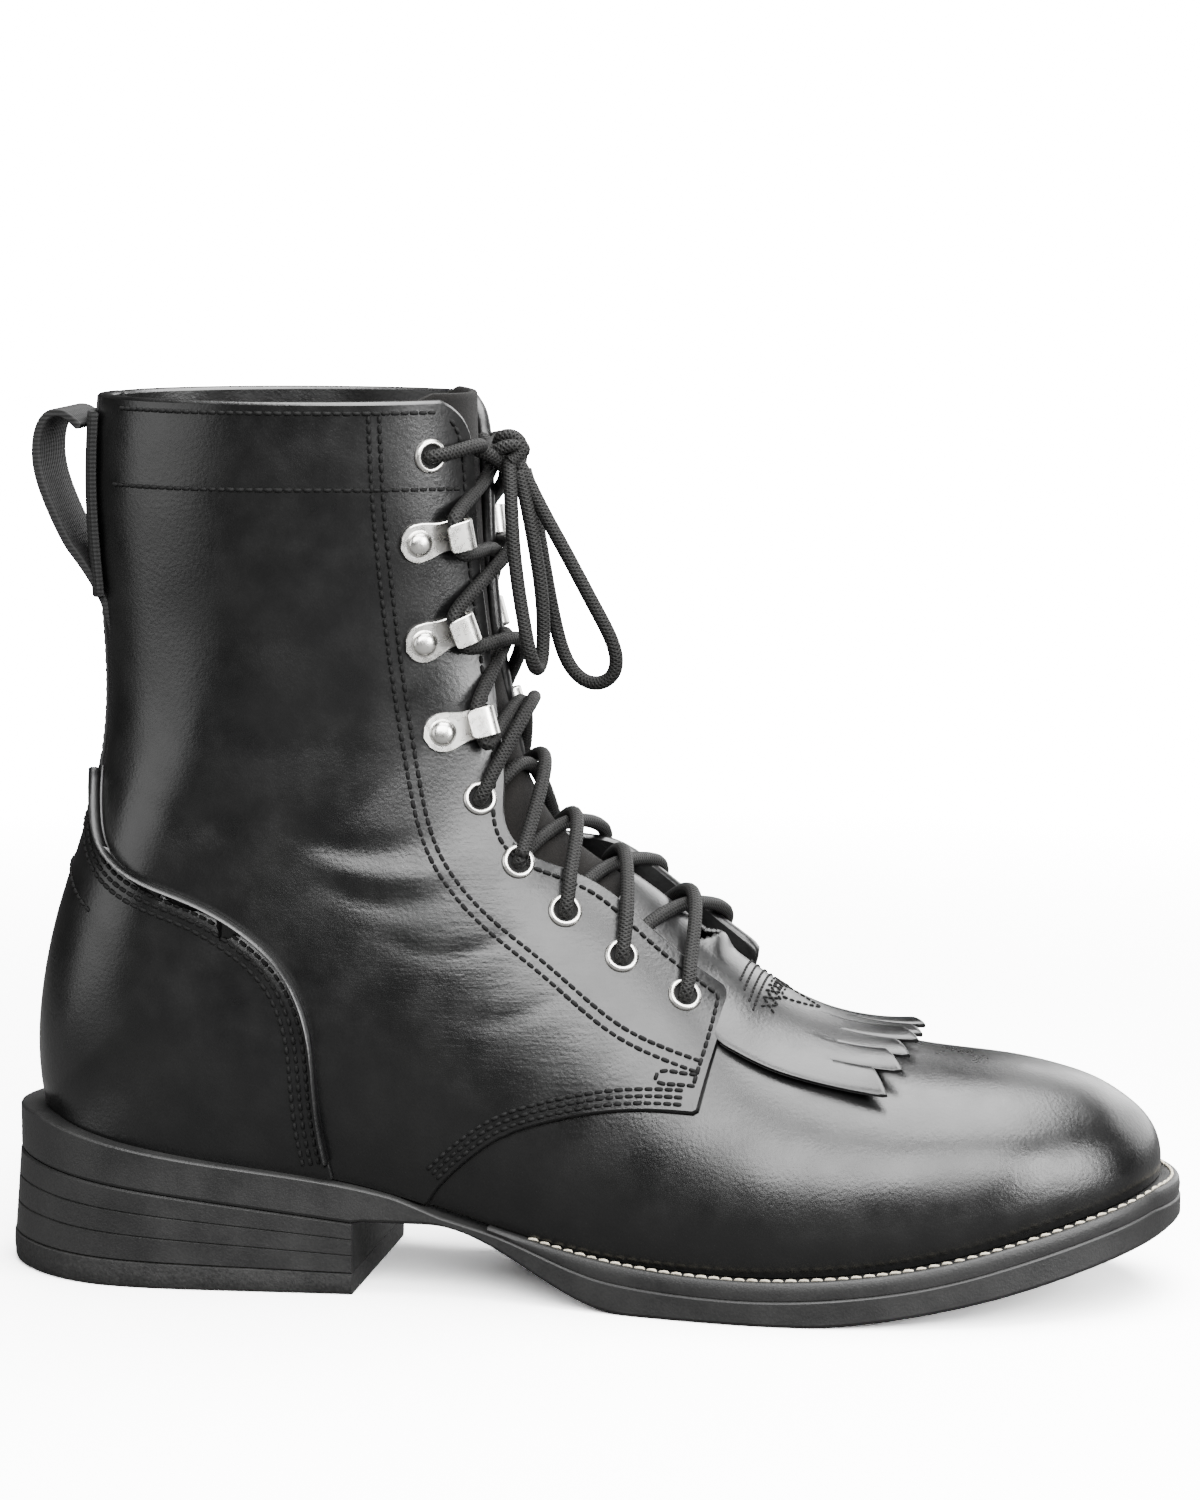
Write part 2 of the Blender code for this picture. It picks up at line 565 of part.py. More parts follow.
def make_quarters():
    facing = side_line(FACING, 30)
    front = side_line(QUARTER_FRONT, 6)
    seam = side_line(QUARTER_SEAM, 14)
    back = shifted(side_line(COUNTER_EDGE, 20), -GAP)
    hem = hem_line(QUARTER_SEAM[-1][0] - 1.0, back[0][0] + 1.0, 4)
    outline = facing + front + seam[1:] + hem + back + [(-170.0, 137.0), (-170.0, 250.0), (-40.0, 250.0)]
    rows = UPPER_S[UPPER_S > 5.6]
    behind = ((-170.0, 40.0), (-110.0, 40.0), (-110.0, 250.0), (-170.0, 250.0))
    for name, side in SIDES.items():
        shell = skin_shell("quarter_" + name, rows, UPPER_P[side * UPPER_P > -0.01], GAP, LEATHER_TOP)
        boolean(shell, prism("quarter_cut_" + name, outline), "INTERSECT")
        strip_edge = HEEL_Y + side * (0.5 * STRIP_WIDTH + GAP)
        strip = prism("strip_room_" + name, behind, *sorted((strip_edge, strip_edge - side * 60.0)))
        boolean(shell, strip, "DIFFERENCE")
        finish(apply(shell), "leather", 0.35)


def make_counter():
    edge = side_line(COUNTER_EDGE, 20)
    rows = UPPER_S[(UPPER_S > 9.2) & (UPPER_S < 18.6)]
    shell = skin_shell("counter", rows, UPPER_P, GAP, GAP + COUNTER)
    hem = hem_line(-170.0, edge[0][0] - 1.0, 12)
    boolean(shell, prism("counter_cut", edge + [(-170.0, 136.0)] + hem), "INTERSECT")
    return finish(apply(shell), "leather", 0.35)


def make_back_strip():
    rows = UPPER_S[UPPER_S > 16.0]
    side = UPPER_P[UPPER_P > 1.3]
    shell = skin_shell("back_strip", rows, np.concatenate((side, -side[-2::-1])), GAP, GAP + STRIP)
    half = 0.5 * STRIP_WIDTH
    outline = ((-170.0, STRIP_LOW_Z), (-100.0, STRIP_LOW_Z), (-100.0, 250.0), (-170.0, 250.0))
    boolean(shell, prism("strip_cut", outline, HEEL_Y - half, HEEL_Y + half), "INTERSECT")
    return finish(apply(shell), "leather", 0.35)


def make_tongue():
    rows = np.append(UPPER_S[UPPER_S > 5.4], ROW["collar"] + TONGUE_RISE)
    outer = -WALL - GAP - TONGUE_DROP
    shell = skin_shell("tongue", rows, UPPER_P[np.abs(UPPER_P) < 0.7], outer - TONGUE, outer)
    return finish(shell, "suede", 0.9)


def half_p(s, half):
    """Place p on a section where the last has a given half width."""
    s = np.asarray(s, float)
    share = np.clip(half / column("wide", s), 0.0, 1.0)
    return np.arcsin(share ** (column("crown", s) / 2.0)) * 2.0 / math.pi


def make_kiltie():
    """Fringed flap over the vamp: a neck between the facings, a body and slit strips."""
    across = []
    for strip in range(FRINGE_STRIPS):
        left = -1.0 + 2.0 * (strip + 0.5 * FRINGE_SLIT) / FRINGE_STRIPS
        right = -1.0 + 2.0 * (strip + 1.0 - 0.5 * FRINGE_SLIT) / FRINGE_STRIPS
        across += [left, right]
    across[0], across[-1] = -1.0, 1.0
    rows = KILTIE_ROWS + FRINGE_ROWS
    layers = []
    for depth in (KILTIE, 0.0):
        for k, row in enumerate(rows):
            for j, share in enumerate(across):
                slant = FRINGE_SLANT * (0.5 - j % 2) if k == len(rows) - 1 else 0.0
                s = row.section + slant
                p = np.sign(share) * half_p(s, abs(share) * row.half)
                layers.append(skin(s, p, row.lift + depth))
    columns = len(across)
    size = len(rows) * columns
    faces = []
    body = len(KILTIE_ROWS) - 1
    cells = [(k, j) for k in range(len(rows) - 1) for j in range(columns - 1) if k < body or j % 2 == 0]
    used = set(cells)
    for k, j in cells:
        a, b = k * columns + j, k * columns + j + 1
        c, d = b + columns, a + columns
        faces += [(a, b, c, d), (a + size, d + size, c + size, b + size)]
        for near, edge in (((k - 1, j), (a, b)), ((k + 1, j), (c, d)), ((k, j - 1), (d, a)), ((k, j + 1), (b, c))):
            if near not in used:
                faces.append((edge[0], edge[1], edge[1] + size, edge[0] + size))
    return finish(new_mesh("kiltie", layers, faces), "leather", 0.35)


def make_pull_loop():
    line = smooth(PULL_LOOP, 18)
    left = np.array(shifted(line, 0.5 * LOOP_THICK))
    right = np.array(shifted(line, -0.5 * LOOP_THICK))
    y = (HEEL_Y - 0.5 * LOOP_WIDTH, HEEL_Y + 0.5 * LOOP_WIDTH)
    frames = [np.array(((a[0], y[0], a[1]), (a[0], y[1], a[1]), (b[0], y[1], b[1]), (b[0], y[0], b[1])))
              for a, b in zip(left, right)]
    return finish(ribbon("pull_loop", frames), "webbing", 0.8)


def surface_frame(x, z, side, offset):
    """Place and axes on the skin: towards the throat, up along the facing, and outwards."""
    s, p = locate(x, z, side, offset)
    origin = skin(s, p, offset)
    normal = last_normal(s, p)
    throat = last_point(s, p - 0.02 * side) - last_point(s, p)
    throat -= normal * np.dot(throat, normal)
    throat /= np.linalg.norm(throat)
    return origin, throat, np.cross(normal, throat), normal


def seated(frame, leather, places):
    """The frame moved along its normal until the given places clear the leather by the gap."""
    origin, throat, up, normal = frame
    tree = BVHTree.FromPolygons([v.co for v in leather.data.vertices], [f.vertices for f in leather.data.polygons])
    high = 6.0
    drops = []
    for u, v in places:
        start = Vector(MM * (origin + u * throat + v * up + high * normal))
        hit = tree.ray_cast(start, Vector(-normal), 0.02)
        if hit[3] is not None:
            drops.append(hit[3] / MM)
    return origin + (high - min(drops) + GAP) * normal, throat, up, normal


def placed(local, frame):
    origin, throat, up, normal = frame
    return [origin + u * throat + v * up + w * normal for u, v, w in local]


def round_places(radius):
    angles = np.arange(8) * math.pi / 4.0
    return [(0.0, 0.0)] + [(radius * math.cos(a), radius * math.sin(a)) for a in angles]


def make_eyelet(name, x, z, side, leather):
    frame = seated(surface_frame(x, z, side, LEATHER_TOP), leather, round_places(EYELET_RADIUS))
    profile = ((EYELET_HOLE, 0.0), (EYELET_HOLE, 0.9), (3.1, EYELET_RISE), (EYELET_RADIUS, 0.0))
    steps = 8
    rings = []
    for k in range(steps):
        angle = 2.0 * math.pi * k / steps
        rings.append(placed([(r * math.cos(angle), r * math.sin(angle), h) for r, h in profile], frame))
    count = len(profile)
    verts = np.concatenate(rings)
    faces = [(k * count + j, k * count + (j + 1) % count,
              ((k + 1) % steps) * count + (j + 1) % count, ((k + 1) % steps) * count + j)
             for k in range(steps) for j in range(count)]
    finish(new_mesh(name, verts, faces), "nickel", 0.3, 1.0)


def make_hook(name, x, z, side, leather):
    """Speed hook: a riveted foot whose nose turns back over itself, with a domed rivet."""
    places = [(u, v) for u in (-4.4, -2.0, 2.0, 7.0) for v in (-4.4, 0.0, 4.4)]
    frame = seated(surface_frame(x, z, side, LEATHER_TOP), leather, places)
    thick, nose, bend = 0.9, 9.6, 2.65
    path = [(-4.4, 0.0), (-2.0, 0.0), (2.0, 0.0), (nose - bend, 0.0)]
    path += [(nose - bend + bend * math.sin(a), bend - bend * math.cos(a)) for a in np.linspace(0.6, math.pi, 4)]
    path += [(nose - bend - 3.6, 2.0 * bend + 0.3)]
    widths = [2.4, 4.4, 4.4, 3.4, 3.5, 3.6, 3.7, 3.8, 3.4]
    line = np.array(path) + np.array((0.0, 0.5 * thick))
    outer = np.array(shifted(line, 0.5 * thick))
    inner = np.array(shifted(line, -0.5 * thick))
    frames = [np.array(placed(((a[0], -w, a[1]), (a[0], w, a[1]), (b[0], w, b[1]), (b[0], -w, b[1])), frame))
              for a, b, w in zip(outer, inner, widths)]
    hook = ribbon(name, frames)
    dome = [placed([(r * math.cos(t), r * math.sin(t), h) for t in np.arange(6) * math.pi / 3.0], frame)
            for r, h in ((3.2, 0.4), (2.9, 1.5), (1.7, 2.3), (0.5, 2.55))]
    rivet = as_cutter(ribbon(name + "_rivet", [np.array(ring) for ring in dome]))
    boolean(hook, rivet, "UNION")
    finish(apply(hook), "nickel", 0.3, 1.0)


def tube(name, points, diameter):
    """Round cord along points, as a mesh with filled ends."""
    curve = bpy.data.curves.new(name, "CURVE")
    curve.dimensions = "3D"
    curve.bevel_depth = 0.5 * diameter * MM
    curve.bevel_resolution = 2
    curve.use_fill_caps = True
    run = curve.splines.new("POLY")
    run.points.add(len(points) - 1)
    for point, place in zip(run.points, points):
        point.co = (*(MM * c for c in place), 1.0)
    item = bpy.data.objects.new(name, curve)
    PARTS.objects.link(item)
    graph = bpy.context.evaluated_depsgraph_get()
    mesh = bpy.data.meshes.new_from_object(item.evaluated_get(graph))
    bpy.data.objects.remove(item)
    work = bmesh.new()
    work.from_mesh(mesh)
    bmesh.ops.remove_doubles(work, verts=work.verts, dist=1e-6)
    bmesh.ops.recalc_face_normals(work, faces=work.faces)
    work.to_mesh(mesh)
    work.free()
    solid = bpy.data.objects.new(name, mesh)
    PARTS.objects.link(solid)
    return solid


def lace_strand(low, high, side):
    """Points of a strand from one side's hole up across the tongue to the next hole on the other side."""
    ride = LEATHER_TOP + 0.5 * LACE + (0.2 if low in HOOKS and high in HOOKS else 0.6)
    over = 0.25 + 0.7 * (side > 0.0)
    start = np.array(locate(*low, side, ride))
    stop = np.array(locate(*high, -side, ride))
    share = np.linspace(0.0, 1.0, 80)
    s, p = (start[:, None] + (stop - start)[:, None] * share)
    line = skin(s, p, ride + over * np.sin(math.pi * share))
    clear = [HOOK_CLEAR if hole in HOOKS else EYELET_CLEAR for hole in (low, high)]
    free = (np.linalg.norm(line - line[0], axis=1) > clear[0]) & (np.linalg.norm(line - line[-1], axis=1) > clear[1])
    return smooth(line[free][::6], 4)


def make_laces():
    holes = EYELETS[:5] + HOOKS + EYELETS[5:]
    for k in range(len(holes) - 1):
        name = "lace_crossing_%d" % (k + 1)
        first = tube(name, lace_strand(holes[k], holes[k + 1], -1.0), LACE)
        second = as_cutter(tube(name + "_over", lace_strand(holes[k], holes[k + 1], 1.0), LACE))
        boolean(first, second, "UNION")
        finish(apply(first), "cord", 0.7)


def make_bow():
    knot = bpy.data.meshes.new("lace_knot")
    work = bmesh.new()
    size = Matrix.Diagonal((*(MM * c for c in KNOT_SIZE), 1.0))
    bmesh.ops.create_icosphere(work, subdivisions=2, radius=1.0, matrix=Matrix.Translation(MM * Vector(KNOT)) @ size)
    work.to_mesh(knot)
    work.free()
    item = bpy.data.objects.new("lace_knot", knot)
    PARTS.objects.link(item)
    finish(item, "cord", 0.7)
    finish(tube("lace_loop_side", smooth(LOOP_SIDE, 15), LACE), "cord", 0.7)
    finish(tube("lace_loop_front", smooth(LOOP_FRONT, 13), LACE), "cord", 0.7)


for old in list(bpy.data.objects):
    bpy.data.objects.remove(old)
PARTS = bpy.data.collections.new("lace_up_boot")
CUTTERS = bpy.data.collections.new("cutters")
for group in (PARTS, CUTTERS):
    bpy.context.scene.collection.children.link(group)

make_outsole()
make_welt()
make_heel()
make_insole()
make_upper()
make_quarters()
make_counter()
make_back_strip()
make_tongue()
make_kiltie()
make_pull_loop()
for side_name, side_sign in SIDES.items():
    quarter = PARTS.objects["quarter_" + side_name]
    for number, (hole_x, hole_z) in enumerate(EYELETS, 1):
        make_eyelet("eyelet_%s_%d" % (side_name, number), hole_x, hole_z, side_sign, quarter)
    for number, (hole_x, hole_z) in enumerate(HOOKS, 1):
        make_hook("hook_%s_%d" % (side_name, number), hole_x, hole_z, side_sign, quarter)
make_laces()
make_bow()
for piece in PARTS.objects:
    piece.data.transform(Matrix.Translation(MM * Vector(TO_CENTRE)))
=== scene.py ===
"""Dress of the lace-up boot: leather panels on the last, stitched seams, laces, metal and sole.

Tables are in millimetres in the maker's frame; TO_CENTRE moves them into the part's frame.
"""

import math
from collections import namedtuple
from functools import lru_cache

import bmesh
import bpy
import numpy as np
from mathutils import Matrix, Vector


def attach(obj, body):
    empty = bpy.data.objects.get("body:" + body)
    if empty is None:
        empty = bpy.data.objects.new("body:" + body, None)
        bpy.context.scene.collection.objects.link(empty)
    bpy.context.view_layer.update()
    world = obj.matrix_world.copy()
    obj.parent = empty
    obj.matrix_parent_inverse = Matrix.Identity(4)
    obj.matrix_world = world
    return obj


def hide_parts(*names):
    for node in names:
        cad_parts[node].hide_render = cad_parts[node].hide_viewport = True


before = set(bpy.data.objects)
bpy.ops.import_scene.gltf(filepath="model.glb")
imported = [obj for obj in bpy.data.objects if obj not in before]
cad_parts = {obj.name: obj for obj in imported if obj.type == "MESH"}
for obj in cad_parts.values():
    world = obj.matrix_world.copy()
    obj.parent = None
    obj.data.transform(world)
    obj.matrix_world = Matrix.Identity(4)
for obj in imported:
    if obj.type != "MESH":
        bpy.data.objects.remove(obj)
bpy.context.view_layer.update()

MM = 0.001
TO_CENTRE = np.array((0.826, 1.285, 0.0))

# Driving sizes, as on the solids
GAP = 0.3
WALL = 2.0
LEATHER_TOP = 1.7        # outside of the quarters above the last
COUNTER_TOP = 2.8
STRIP_TOP = 2.6
TONGUE = 2.0
TONGUE_TOP = -3.1
HEEL_Y = -6.5
TOE_Y = 2.0
SWING_FROM = -60.0
SWING_TO = 150.0
BREAST_X = -57.0
WELT = 4.5
WELT_END_X = -22.0
WELT_TAIL = 1.2          # thickness at its ends
WELT_TAPER = 34.0
STRIP_WIDTH = 15.0

# The last: a fan of sections from the toe tip to the collar
Section = namedtuple("Section", "name base_x base_z crest_x crest_z wide belly seat_out seat_in crown bow")
LAST = [Section(*row) for row in (
    ("toe_tip",     149.5,  31.0, 140.5,  50.6,  0.0, .76, .93, .93, 2.2, 3.6),
    ("toe_front",   146.6,  30.0, 135.5,  53.4, 13.6, .76, .93, .93, 2.2, 3.2),
    ("toe_round",   137.6,  27.2, 126.5,  57.0, 26.4, .76, .94, .94, 2.2, 2.0),
    ("toe_box",     116.0,  21.2, 109.0,  60.4, 40.0, .77, .95, .95, 2.2, 0.6),
    ("fore",         90.0,  15.2,  88.0,  62.6, 47.0, .78, .955, .955, 2.15, 0.0),
    ("ball",         62.0,  12.2,  66.0,  67.8, 49.6, .80, .955, .95, 2.05, 0.0),
    ("vamp",         38.0,  11.8,  47.0,  77.0, 47.6, .81, .95, .94, 1.95, 0.0),
    ("throat",       14.0,  13.3,  31.8,  91.2, 43.4, .80, .93, .90, 1.9, 0.0),
    ("instep",       -8.0,  17.2,  11.6, 108.2, 39.2, .77, .90, .80, 1.9, 0.0),
    ("waist",       -32.0,  23.2,  -4.6, 120.2, 35.8, .70, .86, .72, 1.9, 0.0),
    ("heel_front",  -60.0,  29.6, -12.6, 132.4, 33.4, .64, .86, .84, 2.0, 0.0),
    ("heel_mid",    -95.0,  34.2, -16.0, 142.0, 31.8, .68, .915, .91, 2.15, 0.0),
    ("heel_side",  -122.6,  38.5, -18.0, 150.0, 31.0, .71, .862, .862, 2.25, 0.0),
    ("heel_turn",  -138.8,  41.7, -19.6, 156.2, 30.6, .72, .485, .485, 2.3, 0.0),
    ("heel_corner", -144.4, 43.0, -21.0, 162.0, 30.4, .73, 0.0, 0.0, 2.3, 0.0),
    ("heel_bulge", -146.0,  58.0, -22.8, 169.0, 30.2, .72, 0.0, 0.0, 2.3, 0.0),
    ("heel_top",   -141.4,  90.0, -24.2, 180.0, 30.0, .66, 0.0, 0.0, 2.25, 0.0),
    ("ankle_low",  -131.0, 123.0, -25.2, 193.0, 30.6, .58, 0.0, 0.0, 2.2, 0.0),
    ("ankle",      -126.4, 158.0, -26.0, 207.0, 32.2, .52, 0.0, 0.0, 2.15, 0.0),
    ("shaft",      -128.8, 200.0, -26.6, 221.5, 34.4, .49, 0.0, 0.0, 2.1, 0.0),
    ("collar",     -127.6, 231.5, -26.8, 231.5, 35.4, .48, 0.0, 0.0, 2.1, 0.0),
)]
HEEL = [row.name for row in LAST].index("heel_corner")
COLLAR = len(LAST) - 1.0
ROW = {row.name: float(k) for k, row in enumerate(LAST)}

EdgeMargin = namedtuple("EdgeMargin", "section out inner")
SOLE_EDGE = [EdgeMargin(*row) for row in (
    ("toe_tip", 5.6, 5.6), ("toe_box", 5.4, 5.4), ("ball", 5.0, 5.0), ("throat", 4.0, 4.0),
    ("instep", 2.4, 2.4), ("waist", 2.6, 2.4), ("heel_front", 5.0, 5.0), ("heel_mid", 6.6, 6.0),
    ("heel_corner", 10.2, 10.2),
)]

# Underside of the sole
FLAT_FROM = 16.0
FLAT_TO = 62.0
TOE_SPRING = 20.0
TOE_X = 155.0
SPRING_CURVE = 1.6
ARCH_X = -37.0
ARCH_Z = 19.4
SEAT_UNDER_FRONT = 19.0
SEAT_UNDER_BACK = 30.6
HEEL_BACK_X = -153.0
TOP_LIFT_FRONT = 5.6
TOP_LIFT_BACK = 8.0
HEEL_FLARE = 2.4
STACK_GROOVES = (0.36, 0.68)

# Edges seen from the side, as x, z
FACING = ((-40.0, 233.0), (-34.0, 231.6), (-29.6, 226.4), (-27.6, 214.4), (-26.9, 194.0), (-25.2, 175.7),
          (-22.6, 155.0), (-19.8, 136.0), (-19.0, 124.0), (-13.6, 116.0), (-4.4, 111.4), (6.3, 106.2),
          (16.9, 97.8), (27.4, 89.2), (36.4, 82.6))
QUARTER_FRONT = ((36.4, 82.6), (39.0, 78.4), (37.6, 69.0), (35.9, 62.0), (33.9, 53.2))
QUARTER_SEAM = ((33.9, 53.2), (20.4, 53.6), (5.3, 51.9), (-10.2, 47.7), (-21.0, 42.1), (-31.4, 33.0),
                (-37.4, 25.6))
COUNTER_EDGE = ((-62.7, 30.8), (-65.1, 44.1), (-66.3, 57.5), (-68.0, 70.6), (-73.4, 83.3),
                (-83.1, 93.1), (-97.1, 101.4), (-111.5, 106.9), (-121.6, 112.8), (-126.0, 120.0),
                (-127.9, 128.0), (-128.9, 134.0), (-129.7, 140.0))
EYESTAY = ((-49.7, 229.0), (-49.2, 207.8), (-47.6, 182.6), (-45.2, 157.1), (-40.9, 131.5), (-34.5, 113.6),
           (-21.4, 98.7), (-5.7, 86.4), (9.8, 74.4), (22.5, 67.8), (34.2, 63.6))
EYELETS = ((28.9, 80.3), (12.6, 90.1), (-2.4, 101.2), (-14.8, 113.6), (-25.0, 129.7), (-36.9, 218.1))
HOOKS = ((-34.8, 146.5), (-39.4, 169.8), (-40.0, 195.8))
HOOK_TURN = dict(zip(HOOKS, (27.0, 13.0, 12.0)))
SIDES = {"lateral": -1.0, "medial": 1.0}

PULL_LOOP = ((-131.6, 225.6), (-136.5, 229.2), (-142.4, 228.6), (-146.2, 222.6), (-146.6, 213.0),
             (-143.6, 203.0), (-139.2, 193.6), (-135.0, 186.4), (-132.0, 180.0), (-129.6, 173.0),
             (-127.2, 165.0))
LOOP_WIDTH = 24.0
LOOP_THICK = 2.2

KiltieRow = namedtuple("KiltieRow", "section half lift")
KILTIE_ROWS = [KiltieRow(*row) for row in (
    (8.0, 20.0, -2.3), (7.5, 22.5, -1.9), (7.2, 23.5, -1.6), (7.0, 24.0, -1.3), (6.84, 25.0, -0.9),
    (6.66, 27.5, -0.2), (6.44, 29.5, 0.5), (6.2, 30.0, 1.0), (5.6, 31.5, 1.2), (4.2, 33.5, 1.3),
)]
KILTIE = 1.5
KILTIE_FRONT = 4.2
KILTIE_BACK = 8.0
SLOT_FRONT = 6.92        # bridge of the kiltie in front of its lace slot
SLOT_AWAY = 0.19         # from the bridge to the slot's middle
SLOT_DEEP = 0.15
SLOT_HALF = 7.4
BRIDGE_RISE = 2.6
BRIDGE_DEEP = 0.16
BRIDGE_HALF = 10.0
FRINGE_STRIPS = 9

KNOT = (-20.6, -8.0, 219.0)
LOOP_SIDE = ((-17.2, -10.5, 214.6), (-11.6, -12.0, 204.0), (-4.8, -12.6, 192.0), (2.2, -12.4, 179.0),
             (7.4, -11.4, 168.0), (6.8, -9.6, 160.4), (1.0, -8.0, 158.0), (-5.4, -6.6, 163.0),
             (-9.4, -5.4, 175.0), (-12.4, -4.4, 190.0), (-15.0, -4.0, 204.0), (-17.2, -4.4, 213.0))
LOOP_FRONT = ((-19.6, -12.6, 214.0), (-18.4, -17.0, 204.0), (-16.8, -20.2, 190.0), (-14.4, -22.0, 176.0),
              (-12.6, -22.2, 167.0), (-11.4, -18.6, 162.6), (-10.6, -15.0, 167.0), (-10.8, -14.8, 180.0),
              (-12.8, -14.6, 194.0), (-15.4, -13.0, 206.0), (-17.4, -11.6, 213.0))


# The last as a surface

def bent(values, start="free", end="free"):
    """Smooth curve through values one apart: its rows, their bends and the rows mirrored in front."""
    values = np.asarray(values, float)
    sign = {"even": 1.0, "odd": -1.0}
    head = sign[start] * values[3:0:-1] if start in sign else values[:0]
    tail = sign[end] * values[-2:-5:-1] if end in sign else values[:0]
    rows = np.concatenate((head, values, tail))
    count = len(rows)
    matrix = np.eye(count)
    right = np.zeros_like(rows)
    for k in range(1, count - 1):
        matrix[k, k - 1:k + 2] = 1.0, 4.0, 1.0
        right[k] = 6.0 * (rows[k - 1] - 2.0 * rows[k] + rows[k + 1])
    return rows, np.linalg.solve(matrix, right), len(head)


def read(curve, at):
    """Values of a bent curve at places along it."""
    rows, bend, front = curve
    place = np.asarray(at, float) + front
    k = np.clip(np.floor(place).astype(int), 0, len(rows) - 2)
    b = place - k
    a = 1.0 - b
    if rows.ndim > 1:
        a, b = a[..., None], b[..., None]
    return a * rows[k] + b * rows[k + 1] + ((a ** 3 - a) * bend[k] + (b ** 3 - b) * bend[k + 1]) / 6.0


def run_length(line):
    """Length of a polyline from its start to each of its points."""
    return np.concatenate(([0.0], np.cumsum(np.linalg.norm(np.diff(line, axis=0), axis=1))))


def read_along(rows, along, wanted):
    """Rows of any width, read at wanted lengths."""
    return np.stack([np.interp(wanted, along, column) for column in rows.T], axis=1)


def smooth(points, count):
    """Points evenly spread along a smooth curve through a few."""
    points = np.asarray(points, float)
    fine = read(bent(points), np.linspace(0.0, len(points) - 1.0, 24 * len(points)))
    along = run_length(fine)
    return read_along(fine, along, np.linspace(0.0, along[-1], count))


def eased(share):
    """Share from 0 to 1 with a soft start and end."""
    share = np.clip(share, 0.0, 1.0)
    return share * share * (3.0 - 2.0 * share)


def directions(line):
    tangent = np.gradient(line, axis=0)
    return tangent / np.linalg.norm(tangent, axis=1, keepdims=True)


def left_of(line):
    """Directions to the left of a flat line."""
    tangent = directions(line)
    return np.stack((-tangent[:, 1], tangent[:, 0]), axis=1)


def centre_y(x):
    return HEEL_Y + (TOE_Y - HEEL_Y) * eased((x - SWING_FROM) / (SWING_TO - SWING_FROM))


def table(*names):
    return np.array([[getattr(row, name) for name in names] for row in LAST])


CREST = bent(table("crest_x", "crest_z", "belly", "crown", "bow"), "even")
WIDE = bent(table("wide")[:, 0], "odd")
FEATHER, SEATS = table("base_x", "base_z"), table("seat_out", "seat_in")
BASE = bent(FEATHER[:HEEL + 1], "even", "even"), bent(FEATHER[HEEL:], "even")
SEAT = bent(SEATS[:HEEL + 1], "even", "odd"), bent(SEATS[HEEL:], "odd")


def split(halves, s):
    """Values of a curve that is bent on its own before and after the heel corner."""
    front, back = read(halves[0], np.minimum(s, HEEL)), read(halves[1], np.maximum(s, HEEL) - HEEL)
    return np.where((s <= HEEL)[..., None], front, back)


def paired(s, p):
    return np.broadcast_arrays(np.asarray(s, float), np.asarray(p, float))


def last_point(s, p):
    """Point of the last: s along the sections, p from -2 (outer base) over 0 (crest) to 2 (inner base)."""
    s, p = paired(s, p)
    base = split(BASE, s)
    shape = read(CREST, s)
    crest, belly, power, bow = shape[..., :2], shape[..., 2], 2.0 / shape[..., 3], shape[..., 4]
    seats = np.clip(split(SEAT, s), 0.0, 0.999)
    seat = np.where(p < 0.0, seats[..., 0], seats[..., 1])
    turn = np.minimum(np.abs(p), 1.0) * math.pi / 2.0
    close = np.maximum(np.abs(p) - 1.0, 0.0) * np.arccos(seat)
    above = belly * (1.0 - np.cos(turn) ** power)
    below = belly + (1.0 - belly) * np.sin(close) / np.sqrt(1.0 - seat ** 2)
    upper = np.abs(p) <= 1.0
    reach = np.where(upper, above, below)
    half = read(WIDE, s) * np.where(upper, np.sin(turn) ** power, np.cos(close))
    line = base - crest
    bulge = 4.0 * reach * (1.0 - reach) * bow / np.linalg.norm(line, axis=-1)
    x = crest[..., 0] + line[..., 0] * reach - line[..., 1] * bulge
    z = crest[..., 1] + line[..., 1] * reach + line[..., 0] * bulge
    return np.stack((x, centre_y(x) + np.sign(p) * half, z), axis=-1)


def last_normal(s, p):
    """Outward normal of the last; at the heel corner it is read just above the corner."""
    step = 0.004
    s, p = paired(s, p)
    s = np.where(np.abs(s - HEEL) < 0.06, HEEL + 0.06, s)
    across = last_point(s, p + step) - last_point(s, p - step)
    along = last_point(s + step, p) - last_point(s - step, p)
    normal = np.cross(across, along)
    return normal / np.maximum(np.linalg.norm(normal, axis=-1, keepdims=True), 1e-9)


def skin(s, p, offset):
    """Point at a distance outside the last."""
    s, p = paired(s, p)
    return last_point(s, p) + last_normal(s, p) * np.broadcast_to(offset, s.shape)[..., None]


SEARCH_S, SEARCH_P = np.meshgrid(np.linspace(4.0, COLLAR, 150), np.linspace(0.06, 1.96, 70), indexing="ij")
SEARCH_SEEN = {side: skin(SEARCH_S, side * SEARCH_P, LEATHER_TOP) for side in SIDES.values()}


